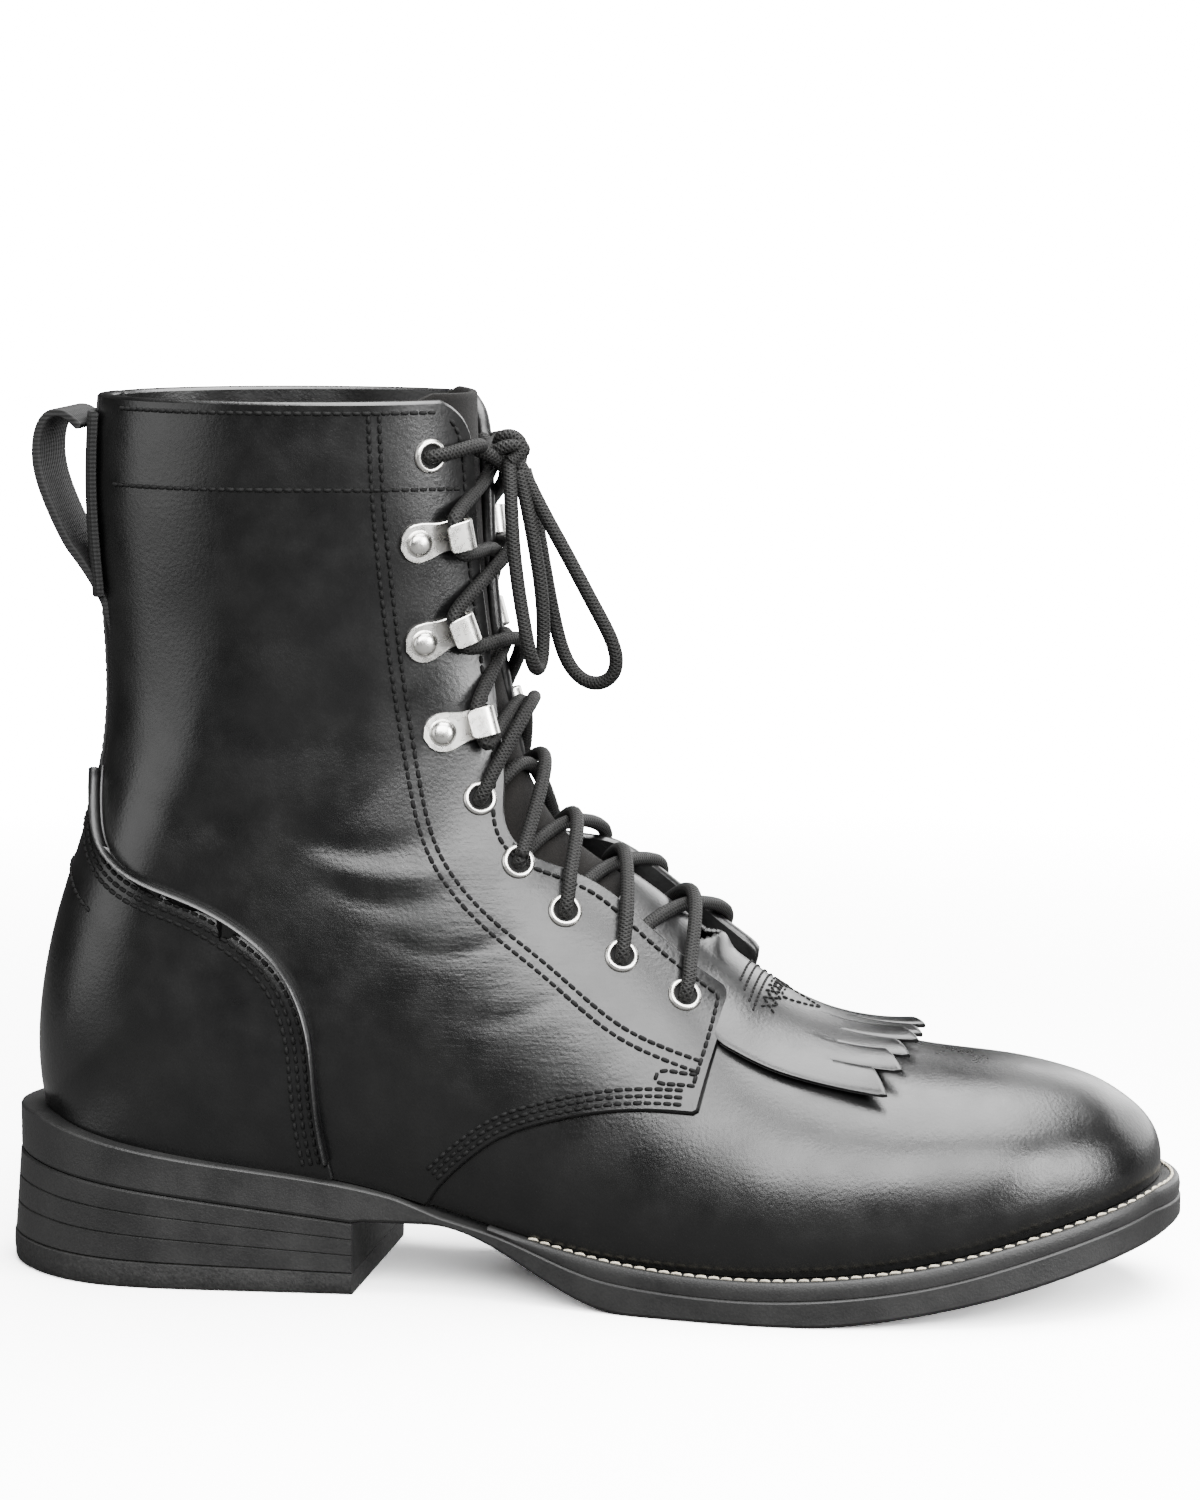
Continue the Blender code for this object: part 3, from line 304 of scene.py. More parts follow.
def locate(points, side):
    """Rows s, p of the skin points that are seen from the side at each x, z."""
    points = np.asarray(points, float)
    seen = SEARCH_SEEN[side]
    place = []
    for x, z in points:
        best = np.argmin((seen[..., 0] - x) ** 2 + (seen[..., 2] - z) ** 2)
        place.append((SEARCH_S.flat[best], SEARCH_P.flat[best]))
    place = np.array(place)
    step = 1e-3

    def miss(at):
        found = skin(at[:, 0], side * at[:, 1], LEATHER_TOP)
        return found[:, (0, 2)] - points

    best = place.copy()
    least = np.linalg.norm(miss(best), axis=1)
    for turn in range(14):
        here = miss(place)
        slope = np.stack([(miss(place + step * axis) - here) / step for axis in np.eye(2)], axis=-1)
        move = np.linalg.solve(slope, here[..., None])[..., 0]
        place = place - np.clip(move, -0.1, 0.1) * (1.0 if turn < 8 else 0.5)
        place[:, 1] = np.clip(place[:, 1], 0.02, 2.0)
        place[:, 0] = np.clip(place[:, 0], 3.0, COLLAR)
        left_over = np.linalg.norm(miss(place), axis=1)
        better = left_over < least
        best[better] = place[better]
        least = np.minimum(least, left_over)
        place = np.where((left_over > 4.0 * least + 0.5)[:, None], best, place)
        if least.max() < 1e-3:
            break
    return np.column_stack((best[:, 0], side * best[:, 1]))


@lru_cache(maxsize=None)
def spot(place, side):
    """Row s, p of one side-view place."""
    return tuple(locate([place], side)[0])


def shifted(line, distance):
    """A side-view line moved to its left by a distance."""
    return line + distance * left_of(line)


# Creases in the leather: side-view line, half width, depth (a ridge is negative)
Crease = namedtuple("Crease", "line wide deep")
CREASES = [Crease(*row) for row in (
    (((-36.0, 121.0), (-48.0, 117.0), (-62.0, 117.5), (-74.0, 121.0)), 3.4, 0.42),
    (((-30.0, 106.5), (-42.0, 103.0), (-55.0, 104.0), (-66.0, 108.0)), 3.0, 0.36),
    (((-27.0, 113.5), (-40.0, 110.0), (-58.0, 110.8), (-70.0, 114.8)), 2.8, -0.30),
    (((-12.0, 98.0), (-24.0, 92.0), (-37.0, 91.0), (-50.0, 95.0)), 2.6, 0.28),
    (((2.0, 84.0), (-9.0, 77.0), (-22.0, 74.0), (-34.0, 76.0)), 2.6, 0.24),
    (((-52.0, 150.0), (-66.0, 146.0), (-82.0, 147.0), (-96.0, 152.0)), 6.0, 0.40),
    (((-84.0, 128.0), (-96.0, 124.0), (-108.0, 124.0), (-118.0, 128.0)), 5.0, 0.45),
    (((-60.0, 176.0), (-76.0, 173.0), (-92.0, 174.5), (-108.0, 180.0)), 8.0, 0.30),
    (((64.0, 60.0), (60.0, 50.0), (58.0, 38.0), (60.0, 26.0)), 5.0, 0.26),
    (((76.0, 58.0), (73.0, 48.0), (72.0, 36.0), (74.0, 26.0)), 4.6, 0.22),
)]


def relief(points):
    """Height of the leather's soft troughs and ridges at each point, seen from the side."""
    flat = points.reshape(-1, 3)[:, (0, 2)]
    height = np.zeros(len(flat))
    for crease in CREASES:
        line = smooth(crease.line, 40)
        gap = np.linalg.norm(flat[:, None, :] - line[None, :, :], axis=2)
        nearest = gap.argmin(axis=1)
        fade = np.sin(math.pi * (nearest + 0.5) / len(line)) ** 0.7
        height -= crease.deep * fade * np.exp(-(gap.min(axis=1) / crease.wide) ** 2)
    return height.reshape(points.shape[:-1])


# Mesh making

def grid_faces(rows, columns, start=0, closed=False):
    wrap = columns if closed else columns - 1
    return [(start + i * columns + j, start + i * columns + (j + 1) % columns,
             start + (i + 1) * columns + (j + 1) % columns, start + (i + 1) * columns + j)
            for i in range(rows - 1) for j in range(wrap)]


def to_frame(points):
    return (np.asarray(points, float) + TO_CENTRE) * MM


def linked(name, data):
    item = bpy.data.objects.new(name, data)
    bpy.context.scene.collection.objects.link(item)
    return item


def new_piece(name, verts, faces, sharp=40.0):
    """Mesh object from millimetre points, merged, faces outward, smooth but for sharp edges."""
    mesh = bpy.data.meshes.new(name)
    mesh.from_pydata([tuple(v) for v in to_frame(verts)], [], faces)
    work = bmesh.new()
    work.from_mesh(mesh)
    bmesh.ops.remove_doubles(work, verts=work.verts, dist=1e-6)
    bmesh.ops.dissolve_degenerate(work, edges=work.edges, dist=1e-7)
    bmesh.ops.recalc_face_normals(work, faces=work.faces)
    for face in work.faces:
        face.smooth = True
    for edge in work.edges:
        edge.smooth = not (edge.is_manifold and edge.calc_face_angle(0.0) > math.radians(sharp))
    work.to_mesh(mesh)
    work.free()
    return linked(name, mesh)


RIM_STEPS = 3


def thick_sheet(verts, faces, thick, bulge):
    """Closed sheet with rounded edges below an open top surface; returns its points and faces."""
    work = bmesh.new()
    made = [work.verts.new(v) for v in verts]
    for face in faces:
        if len(set(face)) > 2:
            try:
                work.faces.new([made[k] for k in face])
            except ValueError:
                continue
    bmesh.ops.remove_doubles(work, verts=work.verts, dist=2e-3)
    bmesh.ops.dissolve_degenerate(work, edges=work.edges, dist=1e-3)
    loose = [v for v in work.verts if not v.link_faces]
    bmesh.ops.delete(work, geom=loose, context="VERTS")
    work.normal_update()
    work.verts.index_update()
    work.verts.ensure_lookup_table()
    top = np.array([v.co for v in work.verts])
    normal = np.array([v.normal for v in work.verts])
    under = top - normal * thick
    count = len(top)
    cells = [[v.index for v in f.verts] for f in work.faces]
    rim_points = []
    rim_index = {}
    rim_faces = []
    for vert in work.verts:
        edges = [e for e in vert.link_edges if e.is_boundary]
        if not edges:
            continue
        inward = np.zeros(3)
        for face in vert.link_faces:
            inward += np.array(face.calc_center_median()) - top[vert.index]
        ends = [np.array(e.other_vert(vert).co) for e in edges]
        along = ends[0] - ends[-1] if len(ends) > 1 else ends[0] - top[vert.index]
        out = np.cross(along, normal[vert.index])
        size = np.linalg.norm(out)
        out = out / size if size > 1e-9 else -inward / max(np.linalg.norm(inward), 1e-9)
        out *= -1.0 if np.dot(out, inward) > 0.0 else 1.0
        middle = 0.5 * (top[vert.index] + under[vert.index])
        half = 0.5 * (top[vert.index] - under[vert.index])
        ring = [vert.index]
        for k in range(1, RIM_STEPS + 1):
            angle = math.pi * k / (RIM_STEPS + 1)
            rim_points.append(middle + half * math.cos(angle) + out * bulge * math.sin(angle))
            ring.append(2 * count + len(rim_points) - 1)
        ring.append(count + vert.index)
        rim_index[vert.index] = ring
    for edge in work.edges:
        if edge.is_boundary:
            a, b = (rim_index[v.index] for v in edge.verts)
            rim_faces += [(a[k], b[k], b[k + 1], a[k + 1]) for k in range(RIM_STEPS + 1)]
    work.free()
    points = np.concatenate((top, under, np.array(rim_points).reshape(-1, 3)))
    cells += [[k + count for k in reversed(cell)] for cell in cells]
    return points, cells + rim_faces


def leather_piece(name, parts, thick, bulge):
    """One object of rounded sheets, each given as the points and faces of its top."""
    verts, faces = [], []
    start = 0
    for top, cells in parts:
        points, sheet_faces = thick_sheet(top, cells, thick, bulge)
        verts.append(points)
        faces += [tuple(k + start for k in face) for face in sheet_faces]
        start += len(points)
    return new_piece(name, np.concatenate(verts), faces)


def outward(grid_s, grid_p, faces):
    """Faces of a grid on the last, turned so that they look away from it."""
    points = last_point(grid_s, grid_p).reshape(-1, 3)
    normal = last_normal(grid_s, grid_p).reshape(-1, 3)
    votes = 0.0
    for face in faces[:: max(1, len(faces) // 60)]:
        a, b, c, d = points[list(face)]
        votes += np.dot(np.cross(c - a, d - b), normal[face[0]])
    return [tuple(reversed(face)) for face in faces] if votes < 0.0 else faces


def sheet(grid, points):
    """Top of a leather sheet: the points of a grid of s, p and its faces."""
    s, p = grid[..., 0], grid[..., 1]
    return points.reshape(-1, 3), outward(s, p, grid_faces(*s.shape))


def patch(top, bottom, left, right):
    """Grid of s, p filled in between four edges; top and bottom run with u, left and right with v."""
    u = np.linspace(0.0, 1.0, len(top))[None, :, None]
    v = np.linspace(0.0, 1.0, len(left))[:, None, None]
    ruled = (1.0 - v) * top[None] + v * bottom[None] + (1.0 - u) * left[:, None] + u * right[:, None]
    corners = ((1.0 - u) * (1.0 - v) * top[0] + u * (1.0 - v) * top[-1]
               + (1.0 - u) * v * bottom[0] + u * v * bottom[-1])
    return ruled - corners


def join_lines(*lines):
    joined = [np.asarray(lines[0])]
    joined += [np.asarray(line)[1:] for line in lines[1:]]
    return np.concatenate(joined)


def spread(line, count):
    """A line of s, p rows spread by its length on the last."""
    along = run_length(last_point(line[:, 0], line[:, 1]))
    return read_along(line, along, np.linspace(0.0, along[-1], count))


def half_p(s, half):
    """Place p on a section where the last has a given half width."""
    s = np.asarray(s, float)
    share = np.clip(half / read(WIDE, s), 0.0, 1.0)
    return np.arcsin(share ** (read(CREST, s)[..., 3] / 2.0)) * 2.0 / math.pi


def back_p(s, half):
    """Place p near the back line where the shaft has a given half width."""
    return 1.0 + np.arccos(np.clip(half / read(WIDE, s), 0.0, 1.0)) * 2.0 / math.pi


# The inner facing stands off the last beside the throat
FACING_RISE = 6.2
FACING_TURN = 9.0
RISE_FULL = 8.3
RISE_NONE = 9.9
THROAT_EDGE = {}
for facing_side in SIDES.values():
    facing_rows = locate(smooth(FACING[1:], 90), facing_side)
    facing_rows = facing_rows[np.argsort(facing_rows[:, 0])]
    THROAT_EDGE[facing_side] = facing_rows[:, 0], np.abs(facing_rows[:, 1])


def throat_edge(s, side):
    """Place p of the facing's edge, without its sign."""
    return np.interp(s, *THROAT_EDGE[side])


def facing_rise(s, p):
    """Height of the inner facing's raised edge."""
    s, p = paired(s, p)
    per_p = np.linalg.norm(last_point(s, p + 0.01) - last_point(s, p - 0.01), axis=-1) / 0.02
    reach = np.maximum(p - throat_edge(s, 1.0), 0.0) * per_p
    share = (RISE_NONE - s) / (RISE_NONE - RISE_FULL)
    turned = np.clip(1.0 - reach / FACING_TURN, 0.0, 1.0) ** 2
    return np.where(p > 0.0, FACING_RISE * eased(share) * turned, 0.0)


def placed_on_last(grid, offset):
    """Points of a grid of s, p at an offset, with the leather's relief."""
    s, p = grid[..., 0], grid[..., 1]
    flat = skin(s, p, offset)
    height = relief(flat) + (facing_rise(s, p) if offset >= LEATHER_TOP else 0.0)
    return flat + last_normal(s, p) * height[..., None]


# Leather of the upper

VAMP_BACK = 6.55         # the vamp ends here on the crest
VAMP_UNDER = 2.95        # and reaches so much further under the quarters
THROAT_FROM = 0.45       # place p where its back edge starts to sweep back
THROAT_SWEEP = 0.4


def make_vamp():
    """Vamp from the toe to under the quarters, open behind the kiltie."""
    p = np.linspace(-2.0, 2.0, 97)
    s_end = VAMP_BACK + VAMP_UNDER * eased((np.abs(p) - THROAT_FROM) / THROAT_SWEEP)
    s = np.linspace(0.0, 1.0, 90)[:, None] * s_end
    grid = np.stack((s, np.broadcast_to(p, s.shape)), axis=-1)
    return leather_piece("vamp_leather", [sheet(grid, placed_on_last(grid, 0.0))], thick=1.6, bulge=0.2)


EDGE_POINTS = 500        # points along the counter's edge
BEFORE_BACK = 1.995      # place p just before the back line
HEM = 1.985              # place p of the quarter's lower edge


def quarter_edges(side):
    """The quarter's four edges as rows of s, p."""
    facing = locate(smooth(FACING[1:], 90), side)
    front = locate(smooth(QUARTER_FRONT, 24), side)
    seam = locate(smooth(QUARTER_SEAM, 40), side)
    counter = locate(smooth(COUNTER_EDGE, EDGE_POINTS)[:-25], side)
    counter = counter[np.abs(counter[:, 1]) < back_p(counter[:, 0], 0.5 * STRIP_WIDTH)]
    strip_s = np.linspace(COLLAR, counter[-1, 0], 40)
    strip = np.column_stack((strip_s, side * back_p(strip_s, 0.5 * STRIP_WIDTH - 1.0)))
    collar_p = np.linspace(strip[0, 1], facing[0, 1], 50)
    collar = np.column_stack((np.full(50, COLLAR), collar_p))
    hem_s = np.linspace(counter[0, 0], seam[-1, 0], 12)
    hem = np.column_stack((hem_s, np.full(12, side * HEM)))
    return collar, facing, front, seam, hem, counter, strip


BACK_COLUMNS = 14        # columns of a quarter spread evenly from its back edge
FACING_COLUMNS = 9       # and up to its facing edge


def make_quarter(name, side):
    collar, facing, front, seam, hem, counter, strip = quarter_edges(side)
    across, down = 110, 120
    top = spread(join_lines(collar, facing[:1]), across)
    right = spread(facing, down)
    bottom = spread(join_lines(hem, seam[::-1], front[::-1]), across)
    left = spread(join_lines(strip, counter[::-1]), down)
    left[0], right[0] = top[0], top[-1]
    bottom[0], bottom[-1] = left[-1], right[-1]
    edges = (top, bottom, left, right)
    grid = patch(*edges)
    view = patch(*(skin(edge[:, 0], edge[:, 1], LEATHER_TOP)[:, (0, 2)] for edge in edges))
    inner = locate(view[1:-1, 1:-1].reshape(-1, 2), side)
    grid[1:-1, 1:-1] = inner.reshape(down - 2, across - 2, 2)
    for rows, start, stop in ((left[:, 0] > counter[-1, 0] + 0.2, 0, BACK_COLUMNS),
                              (right[:, 0] > facing[-1, 0] + 0.25, across - 1 - FACING_COLUMNS, across - 1)):
        share = np.linspace(0.0, 1.0, stop - start + 1)[None, :, None]
        first, last = grid[rows, start:start + 1], grid[rows, stop:stop + 1]
        grid[rows, start:stop + 1] = first * (1.0 - share) + last * share
    top = sheet(grid, placed_on_last(grid, LEATHER_TOP))
    return leather_piece(name, [top], thick=LEATHER_TOP + WALL, bulge=0.9)


def make_counter():
    """Counter round the heel, one sheet joined on the back line."""
    rows, columns = 130, 44
    verts, faces = [], []
    for side in SIDES.values():
        edge = locate(smooth(COUNTER_EDGE, EDGE_POINTS), side)
        edge = spread(edge[np.abs(edge[:, 1]) < BEFORE_BACK], rows)
        tip = np.array(((edge[-1, 0] + 0.02, side * 2.0),))
        edge = spread(join_lines(edge, tip), rows)
        back = np.column_stack((edge[:, 0], np.full(rows, side * 2.0)))
        t = np.linspace(0.0, 1.0, columns)[None, :, None]
        grid = edge[:, None] * (1.0 - t) + back[:, None] * t
        points, cells = sheet(grid, placed_on_last(grid, COUNTER_TOP))
        faces += [tuple(k + rows * columns * len(verts) for k in cell) for cell in cells]
        verts.append(points)
    top = np.concatenate(verts), faces
    return leather_piece("heel_counter", [top], thick=COUNTER_TOP - 0.1, bulge=0.7)


def make_back_strip():
    s = np.linspace(ROW["ankle_low"] + 0.2, COLLAR, 60)[:, None]
    edge = back_p(s, 0.5 * STRIP_WIDTH)
    inward = (2.0 - edge) * np.linspace(0.0, 1.0, 9)
    p = np.concatenate((edge + inward, inward[:, 1:] - 2.0), axis=1)
    grid = np.stack((np.broadcast_to(s, p.shape), p), axis=-1)
    top = sheet(grid, placed_on_last(grid, STRIP_TOP))
    return leather_piece("back_strip_leather", [top], thick=3.4, bulge=0.8)


LINING_FROM = 10.2
LINING_DROP = 0.34       # below the collar
LINING_FRONT = 0.55
TONGUE_FRONT = 5.7
TONGUE_OVER = 0.14       # above the collar
TONGUE_TIP_HALF = 0.34   # half width at the tip, as a place p
TONGUE_WIDER = 0.22      # what it gains below its rounded end
TONGUE_ROUND = 0.7


def make_lining():
    """Lining inside the shaft and heel, from under the collar's turned edge down."""
    parts = []
    s, p = np.linspace(LINING_FROM, COLLAR - LINING_DROP, 60), np.linspace(LINING_FRONT, 2.0, 40)
    for side in SIDES.values():
        grid = np.stack(np.meshgrid(s, side * p, indexing="ij"), axis=-1)
        parts.append(sheet(grid, skin(grid[..., 0], grid[..., 1], -WALL - 0.2)))
    return leather_piece("shaft_lining", parts, thick=0.8, bulge=0.2)


def make_tongue():
    s = np.linspace(TONGUE_FRONT, COLLAR + TONGUE_OVER, 110)[:, None]
    round_top = np.sqrt(np.clip((COLLAR + TONGUE_OVER + 0.02 - s) / TONGUE_ROUND, 0.0, 1.0))
    p = (TONGUE_TIP_HALF + TONGUE_WIDER * round_top) * np.linspace(-1.0, 1.0, 41)
    grid = np.stack((np.broadcast_to(s, p.shape), p), axis=-1)
    return leather_piece("tongue_suede", [sheet(grid, skin(s, p, TONGUE_TOP))], thick=TONGUE, bulge=0.6)


# Kiltie

KILTIE_S = np.linspace(KILTIE_FRONT, KILTIE_BACK, 200)
KILTIE_SMOOTH = np.ones(15) / 15.0


def kiltie_column(name):
    """One column of the kiltie's rows, smoothed."""
    rows = KILTIE_ROWS[::-1]
    fine = np.interp(KILTIE_S, [row.section for row in rows], [getattr(row, name) for row in rows])
    return np.convolve(np.pad(fine, 7, mode="edge"), KILTIE_SMOOTH, mode="valid")


KILTIE_HALF, KILTIE_LIFT = kiltie_column("half"), kiltie_column("lift")


def kiltie_at(s):
    """Half width and lift of the kiltie at a section."""
    return np.interp(s, KILTIE_S, KILTIE_HALF), np.interp(s, KILTIE_S, KILTIE_LIFT)


FringeStrip = namedtuple("FringeStrip", "end slant curl")
FRINGE = [FringeStrip(*row) for row in (
    (4.42, 0.20, 0.6), (4.30, 0.22, 1.4), (4.24, 0.20, 0.9), (4.20, 0.24, 1.9), (4.16, 0.20, 1.2),
    (4.18, 0.22, 2.1), (4.24, 0.20, 1.5), (4.30, 0.24, 2.0), (4.40, 0.20, 1.2),
)]
FRINGE_CUT = 4.98
FRINGE_COLUMNS = 7


def make_kiltie():
    """Kiltie from under the facings over the vamp, slotted for the lace, its front edge cut into strips."""
    pitch = 2.0 / FRINGE_STRIPS
    within = np.linspace(-0.5, 0.5, FRINGE_COLUMNS)
    share = np.concatenate([-1.0 + pitch * (k + 0.5 + 0.95 * within) for k in range(FRINGE_STRIPS)])
    strip = np.repeat(np.arange(FRINGE_STRIPS), FRINGE_COLUMNS)
    place = np.tile(within, FRINGE_STRIPS)
    tip = np.array([FRINGE[k].end + FRINGE[k].slant * w for k, w in zip(strip, place)])
    curl = np.array([FRINGE[k].curl for k in strip])
    body_rows, fringe_rows = 70, 20
    body = np.linspace(KILTIE_BACK, FRINGE_CUT, body_rows)[:, None] * np.ones_like(share)
    along = np.linspace(0.0, 1.0, fringe_rows)[1:, None]
    s = np.concatenate((body, FRINGE_CUT + (tip - FRINGE_CUT) * along))
    half, lift = kiltie_at(s)
    p = np.sign(share) * half_p(s, np.abs(share) * half)
    free = np.clip((FRINGE_CUT + 0.5 - s) / (FRINGE_CUT + 0.5 - tip), 0.0, 1.0)
    cut = np.clip((FRINGE_CUT - s) / (FRINGE_CUT - tip), 0.0, 1.0)
    crown = 0.5 * (1.0 - 4.0 * place ** 2) * cut
    bridge = BRIDGE_RISE * np.exp(-((s - SLOT_FRONT) / BRIDGE_DEEP) ** 2)
    bridge = bridge * np.clip(1.0 - (share * half / BRIDGE_HALF) ** 2, 0.0, 1.0)
    points = skin(s, p, lift + KILTIE + bridge + (0.8 + curl) * free ** 2 + crown)
    rows, columns = s.shape
    cells = grid_faces(rows, columns)
    row, column = np.divmod(np.array([cell[0] for cell in cells]), columns)
    middle_s = np.array([s.flat[list(cell)].mean() for cell in cells])
    middle_y = np.array([(share * half).flat[list(cell)].mean() for cell in cells])
    between = (row >= body_rows - 1) & (strip[column] != strip[(column + 1) % columns])
    slot = ((middle_s - SLOT_FRONT - SLOT_AWAY) / SLOT_DEEP) ** 2 + (middle_y / SLOT_HALF) ** 2 < 1.0
    kept = [cell for cell, gone in zip(cells, between | slot) if not gone]
    top = points.reshape(-1, 3), outward(s, p, kept)
    return leather_piece("kiltie_leather", [top], thick=KILTIE, bulge=0.5)


LEG_FROM = 18.5          # the loop's inner leg lies on the strip from here up
LOOP_FREE = 192.0        # below this height the loop bends round the shaft
SHAFT_HALF = 33.0


def make_pull_loop():
    """Loop of webbing: its bow behind the shaft and its leg on the back strip."""
    outer = shifted(smooth(PULL_LOOP, 70), 0.5 * LOOP_THICK)
    across = 0.5 * LOOP_WIDTH * np.linspace(-1.0, 1.0, 15)
    points = np.array([[(x, HEEL_Y + y, z) for y in across] for x, z in outer])
    hugging = np.clip((LOOP_FREE - outer[:, 1:]) / 14.0, 0.0, 1.0)
    points[..., 0] += hugging * across ** 2 / (2.0 * SHAFT_HALF)
    points = points.reshape(-1, 3)
    faces = grid_faces(len(outer), len(across))
    a, b, c, d = points[list(faces[0])]
    if np.cross(c - a, d - b)[2] < 0.0:
        faces = [tuple(reversed(face)) for face in faces]
    s, y = np.meshgrid(np.linspace(LEG_FROM, COLLAR - 0.16, 40), across, indexing="ij")
    p = np.where(y < 0.0, -1.0, 1.0) * back_p(s, np.abs(y))
    leg = sheet(np.stack((s, p), axis=-1), skin(s, p, STRIP_TOP + LOOP_THICK))
    return leather_piece("pull_loop_webbing", [(points, faces), leg], thick=LOOP_THICK, bulge=0.7)


# Sole

def under_z(x):
    """Underside of the sole: heel seat, arch, flat forefoot and toe spring."""
    x = np.asarray(x, float)
    arch = ARCH_Z * eased((FLAT_FROM - x) / (FLAT_FROM - ARCH_X))
    spring = TOE_SPRING * (np.maximum(x - FLAT_TO, 0.0) / (TOE_X - FLAT_TO)) ** SPRING_CURVE
    slope = (SEAT_UNDER_BACK - SEAT_UNDER_FRONT) * (BREAST_X - x) / (BREAST_X - HEEL_BACK_X)
    seat = SEAT_UNDER_FRONT + slope
    return np.where(x <= BREAST_X, seat, arch + spring)


def feather_z(x):
    """Height of the feather edge, where the upper meets the sole."""
    s = np.linspace(0.0, HEEL, 200)
    base = last_point(s, -2.0)
    return np.interp(-np.asarray(x, float), -base[:, 0], base[:, 2])


def welt_thick(x):
    return WELT_TAIL + (WELT - WELT_TAIL) * eased((np.asarray(x, float) - WELT_END_X) / WELT_TAPER)


def top_z(x):
    x = np.asarray(x, float)
    under_welt = np.clip((x - WELT_END_X + 24.0) / 12.0, 0.0, 1.0)
    return feather_z(x) - GAP - under_welt * (welt_thick(x) + GAP)


def sole_outline(s_values, inset, side):
    """Edge of the sole in plan on one side; a positive inset moves it inwards."""
    rows = [ROW[row.section] for row in SOLE_EDGE]
    width = [row.out if side < 0.0 else row.inner for row in SOLE_EDGE]
    fine = np.linspace(0.0, HEEL, 200)
    margin = np.interp(fine, rows, width)
    margin = np.convolve(np.pad(margin, 12, mode="edge"), np.ones(25) / 25.0, mode="valid")
    edge = last_point(s_values, 2.0 * side)[:, :2]
    step = 0.01
    ahead = last_point(s_values - step, 2.0 * side)[:, :2]
    behind = last_point(s_values + step, 2.0 * side)[:, :2]
    tangent = ahead - behind
    tangent[0] = (0.0, side * -1.0) if s_values[0] < 1e-9 else tangent[0]
    tangent[-1] = (0.0, side) if s_values[-1] > HEEL - 1e-9 else tangent[-1]
    normal = np.stack((-side * tangent[:, 1], side * tangent[:, 0]), axis=1)
    normal /= np.linalg.norm(normal, axis=1, keepdims=True)
    return edge + normal * (np.interp(s_values, fine, margin) - inset)[:, None]


def sole_ring(s_values, inset):
    out, inner = (sole_outline(s_values, inset, side) for side in SIDES.values())
    return np.concatenate((out, inner[::-1]))


def lift(plan, height):
    return np.column_stack((plan, height))


def plate(name, rings, sharp=40.0):
    """Solid between stacked rings of equal count; the end rings are filled rung by rung."""
    count = len(rings[0])
    verts = np.concatenate(rings)
    faces = grid_faces(len(rings), count, closed=True)
    for ring in (0, len(rings) - 1):
        start = ring * count
        for k in range(count // 2):
            rung = (start + k, start + k + 1, start + count - 2 - k, start + count - 1 - k)
            if len(set(rung)) > 2:
                faces.append(rung)
    return new_piece(name, verts, faces, sharp)


SOLE_SPANS = ((0.0, 4.0, 60), (4.05, 10.0, 70), (10.05, HEEL, 60))
SOLE_S = np.concatenate([np.linspace(*span) for span in SOLE_SPANS])


def level(inset, height):
    """Ring of the sole's edge at a height that goes by x."""
    ring = sole_ring(SOLE_S, inset)
    return lift(ring, height(ring[:, 0]))


def make_outsole():
    """Outsole with a small shoulder and a rounded foot."""
    wide = sole_ring(SOLE_S, 0.0)
    top, under = top_z(wide[:, 0]), under_z(wide[:, 0])
    thin = top - under
    waist = np.clip((ARCH_X + 42.0 - np.abs(wide[:, 0] - ARCH_X)) / 30.0, 0.0, 1.0)
    foot = np.minimum(1.0 + 0.6 * waist, 0.3 * thin)
    shoulder = np.minimum(0.6, 0.3 * thin)
    rings = [level(inset, top_z) for inset in (14.0, 0.7)]
    for inset, drop in ((0.42, 0.2), (0.14, 0.55), (0.0, 1.0)):
        rings.append(lift(sole_ring(SOLE_S, inset), top - shoulder * drop))
    for inset, share in ((0.0, 1.0), (0.3, 0.4)):
        rings.append(lift(sole_ring(SOLE_S, inset), under + foot * share))
    rings += [level(inset, under_z) for inset in (1.0, 14.0)]
    return plate("outsole_rubber", rings, sharp=24.0)


def welt_lines(inset):
    s_end = np.interp(-WELT_END_X, [-row.base_x for row in LAST[:HEEL]], np.arange(HEEL))
    s_values = SOLE_S[SOLE_S <= s_end]
    out, inner = (sole_outline(s_values, inset, side) for side in SIDES.values())
    return np.concatenate((out[::-1], inner[1:]))


def make_welt():
    edge, shoulder, feather, under = (welt_lines(inset) for inset in (0.4, 1.3, 5.0, 13.0))
    lines = (
        lift(edge, top_z(edge[:, 0]) + 0.1),
        lift(welt_lines(0.15), 0.5 * (top_z(edge[:, 0]) + feather_z(edge[:, 0]) - GAP)),
        lift(edge, feather_z(edge[:, 0]) - GAP - 0.7),
        lift(welt_lines(0.7), feather_z(edge[:, 0]) - GAP - 0.2),
        lift(shoulder, feather_z(shoulder[:, 0]) - GAP),
        lift(feather, feather_z(feather[:, 0]) - GAP - 0.15),
        lift(under, feather_z(under[:, 0]) - GAP),
        lift(under, top_z(under[:, 0]) + 0.1),
    )
    frames = np.stack(lines, axis=1)
    count = frames.shape[1]
    verts = frames.reshape(-1, 3)
    faces = grid_faces(len(frames), count, closed=True)
    faces += [tuple(range(count)), tuple(range(len(verts) - count, len(verts)))]
    return new_piece("welt_strip", verts, faces, sharp=50.0)


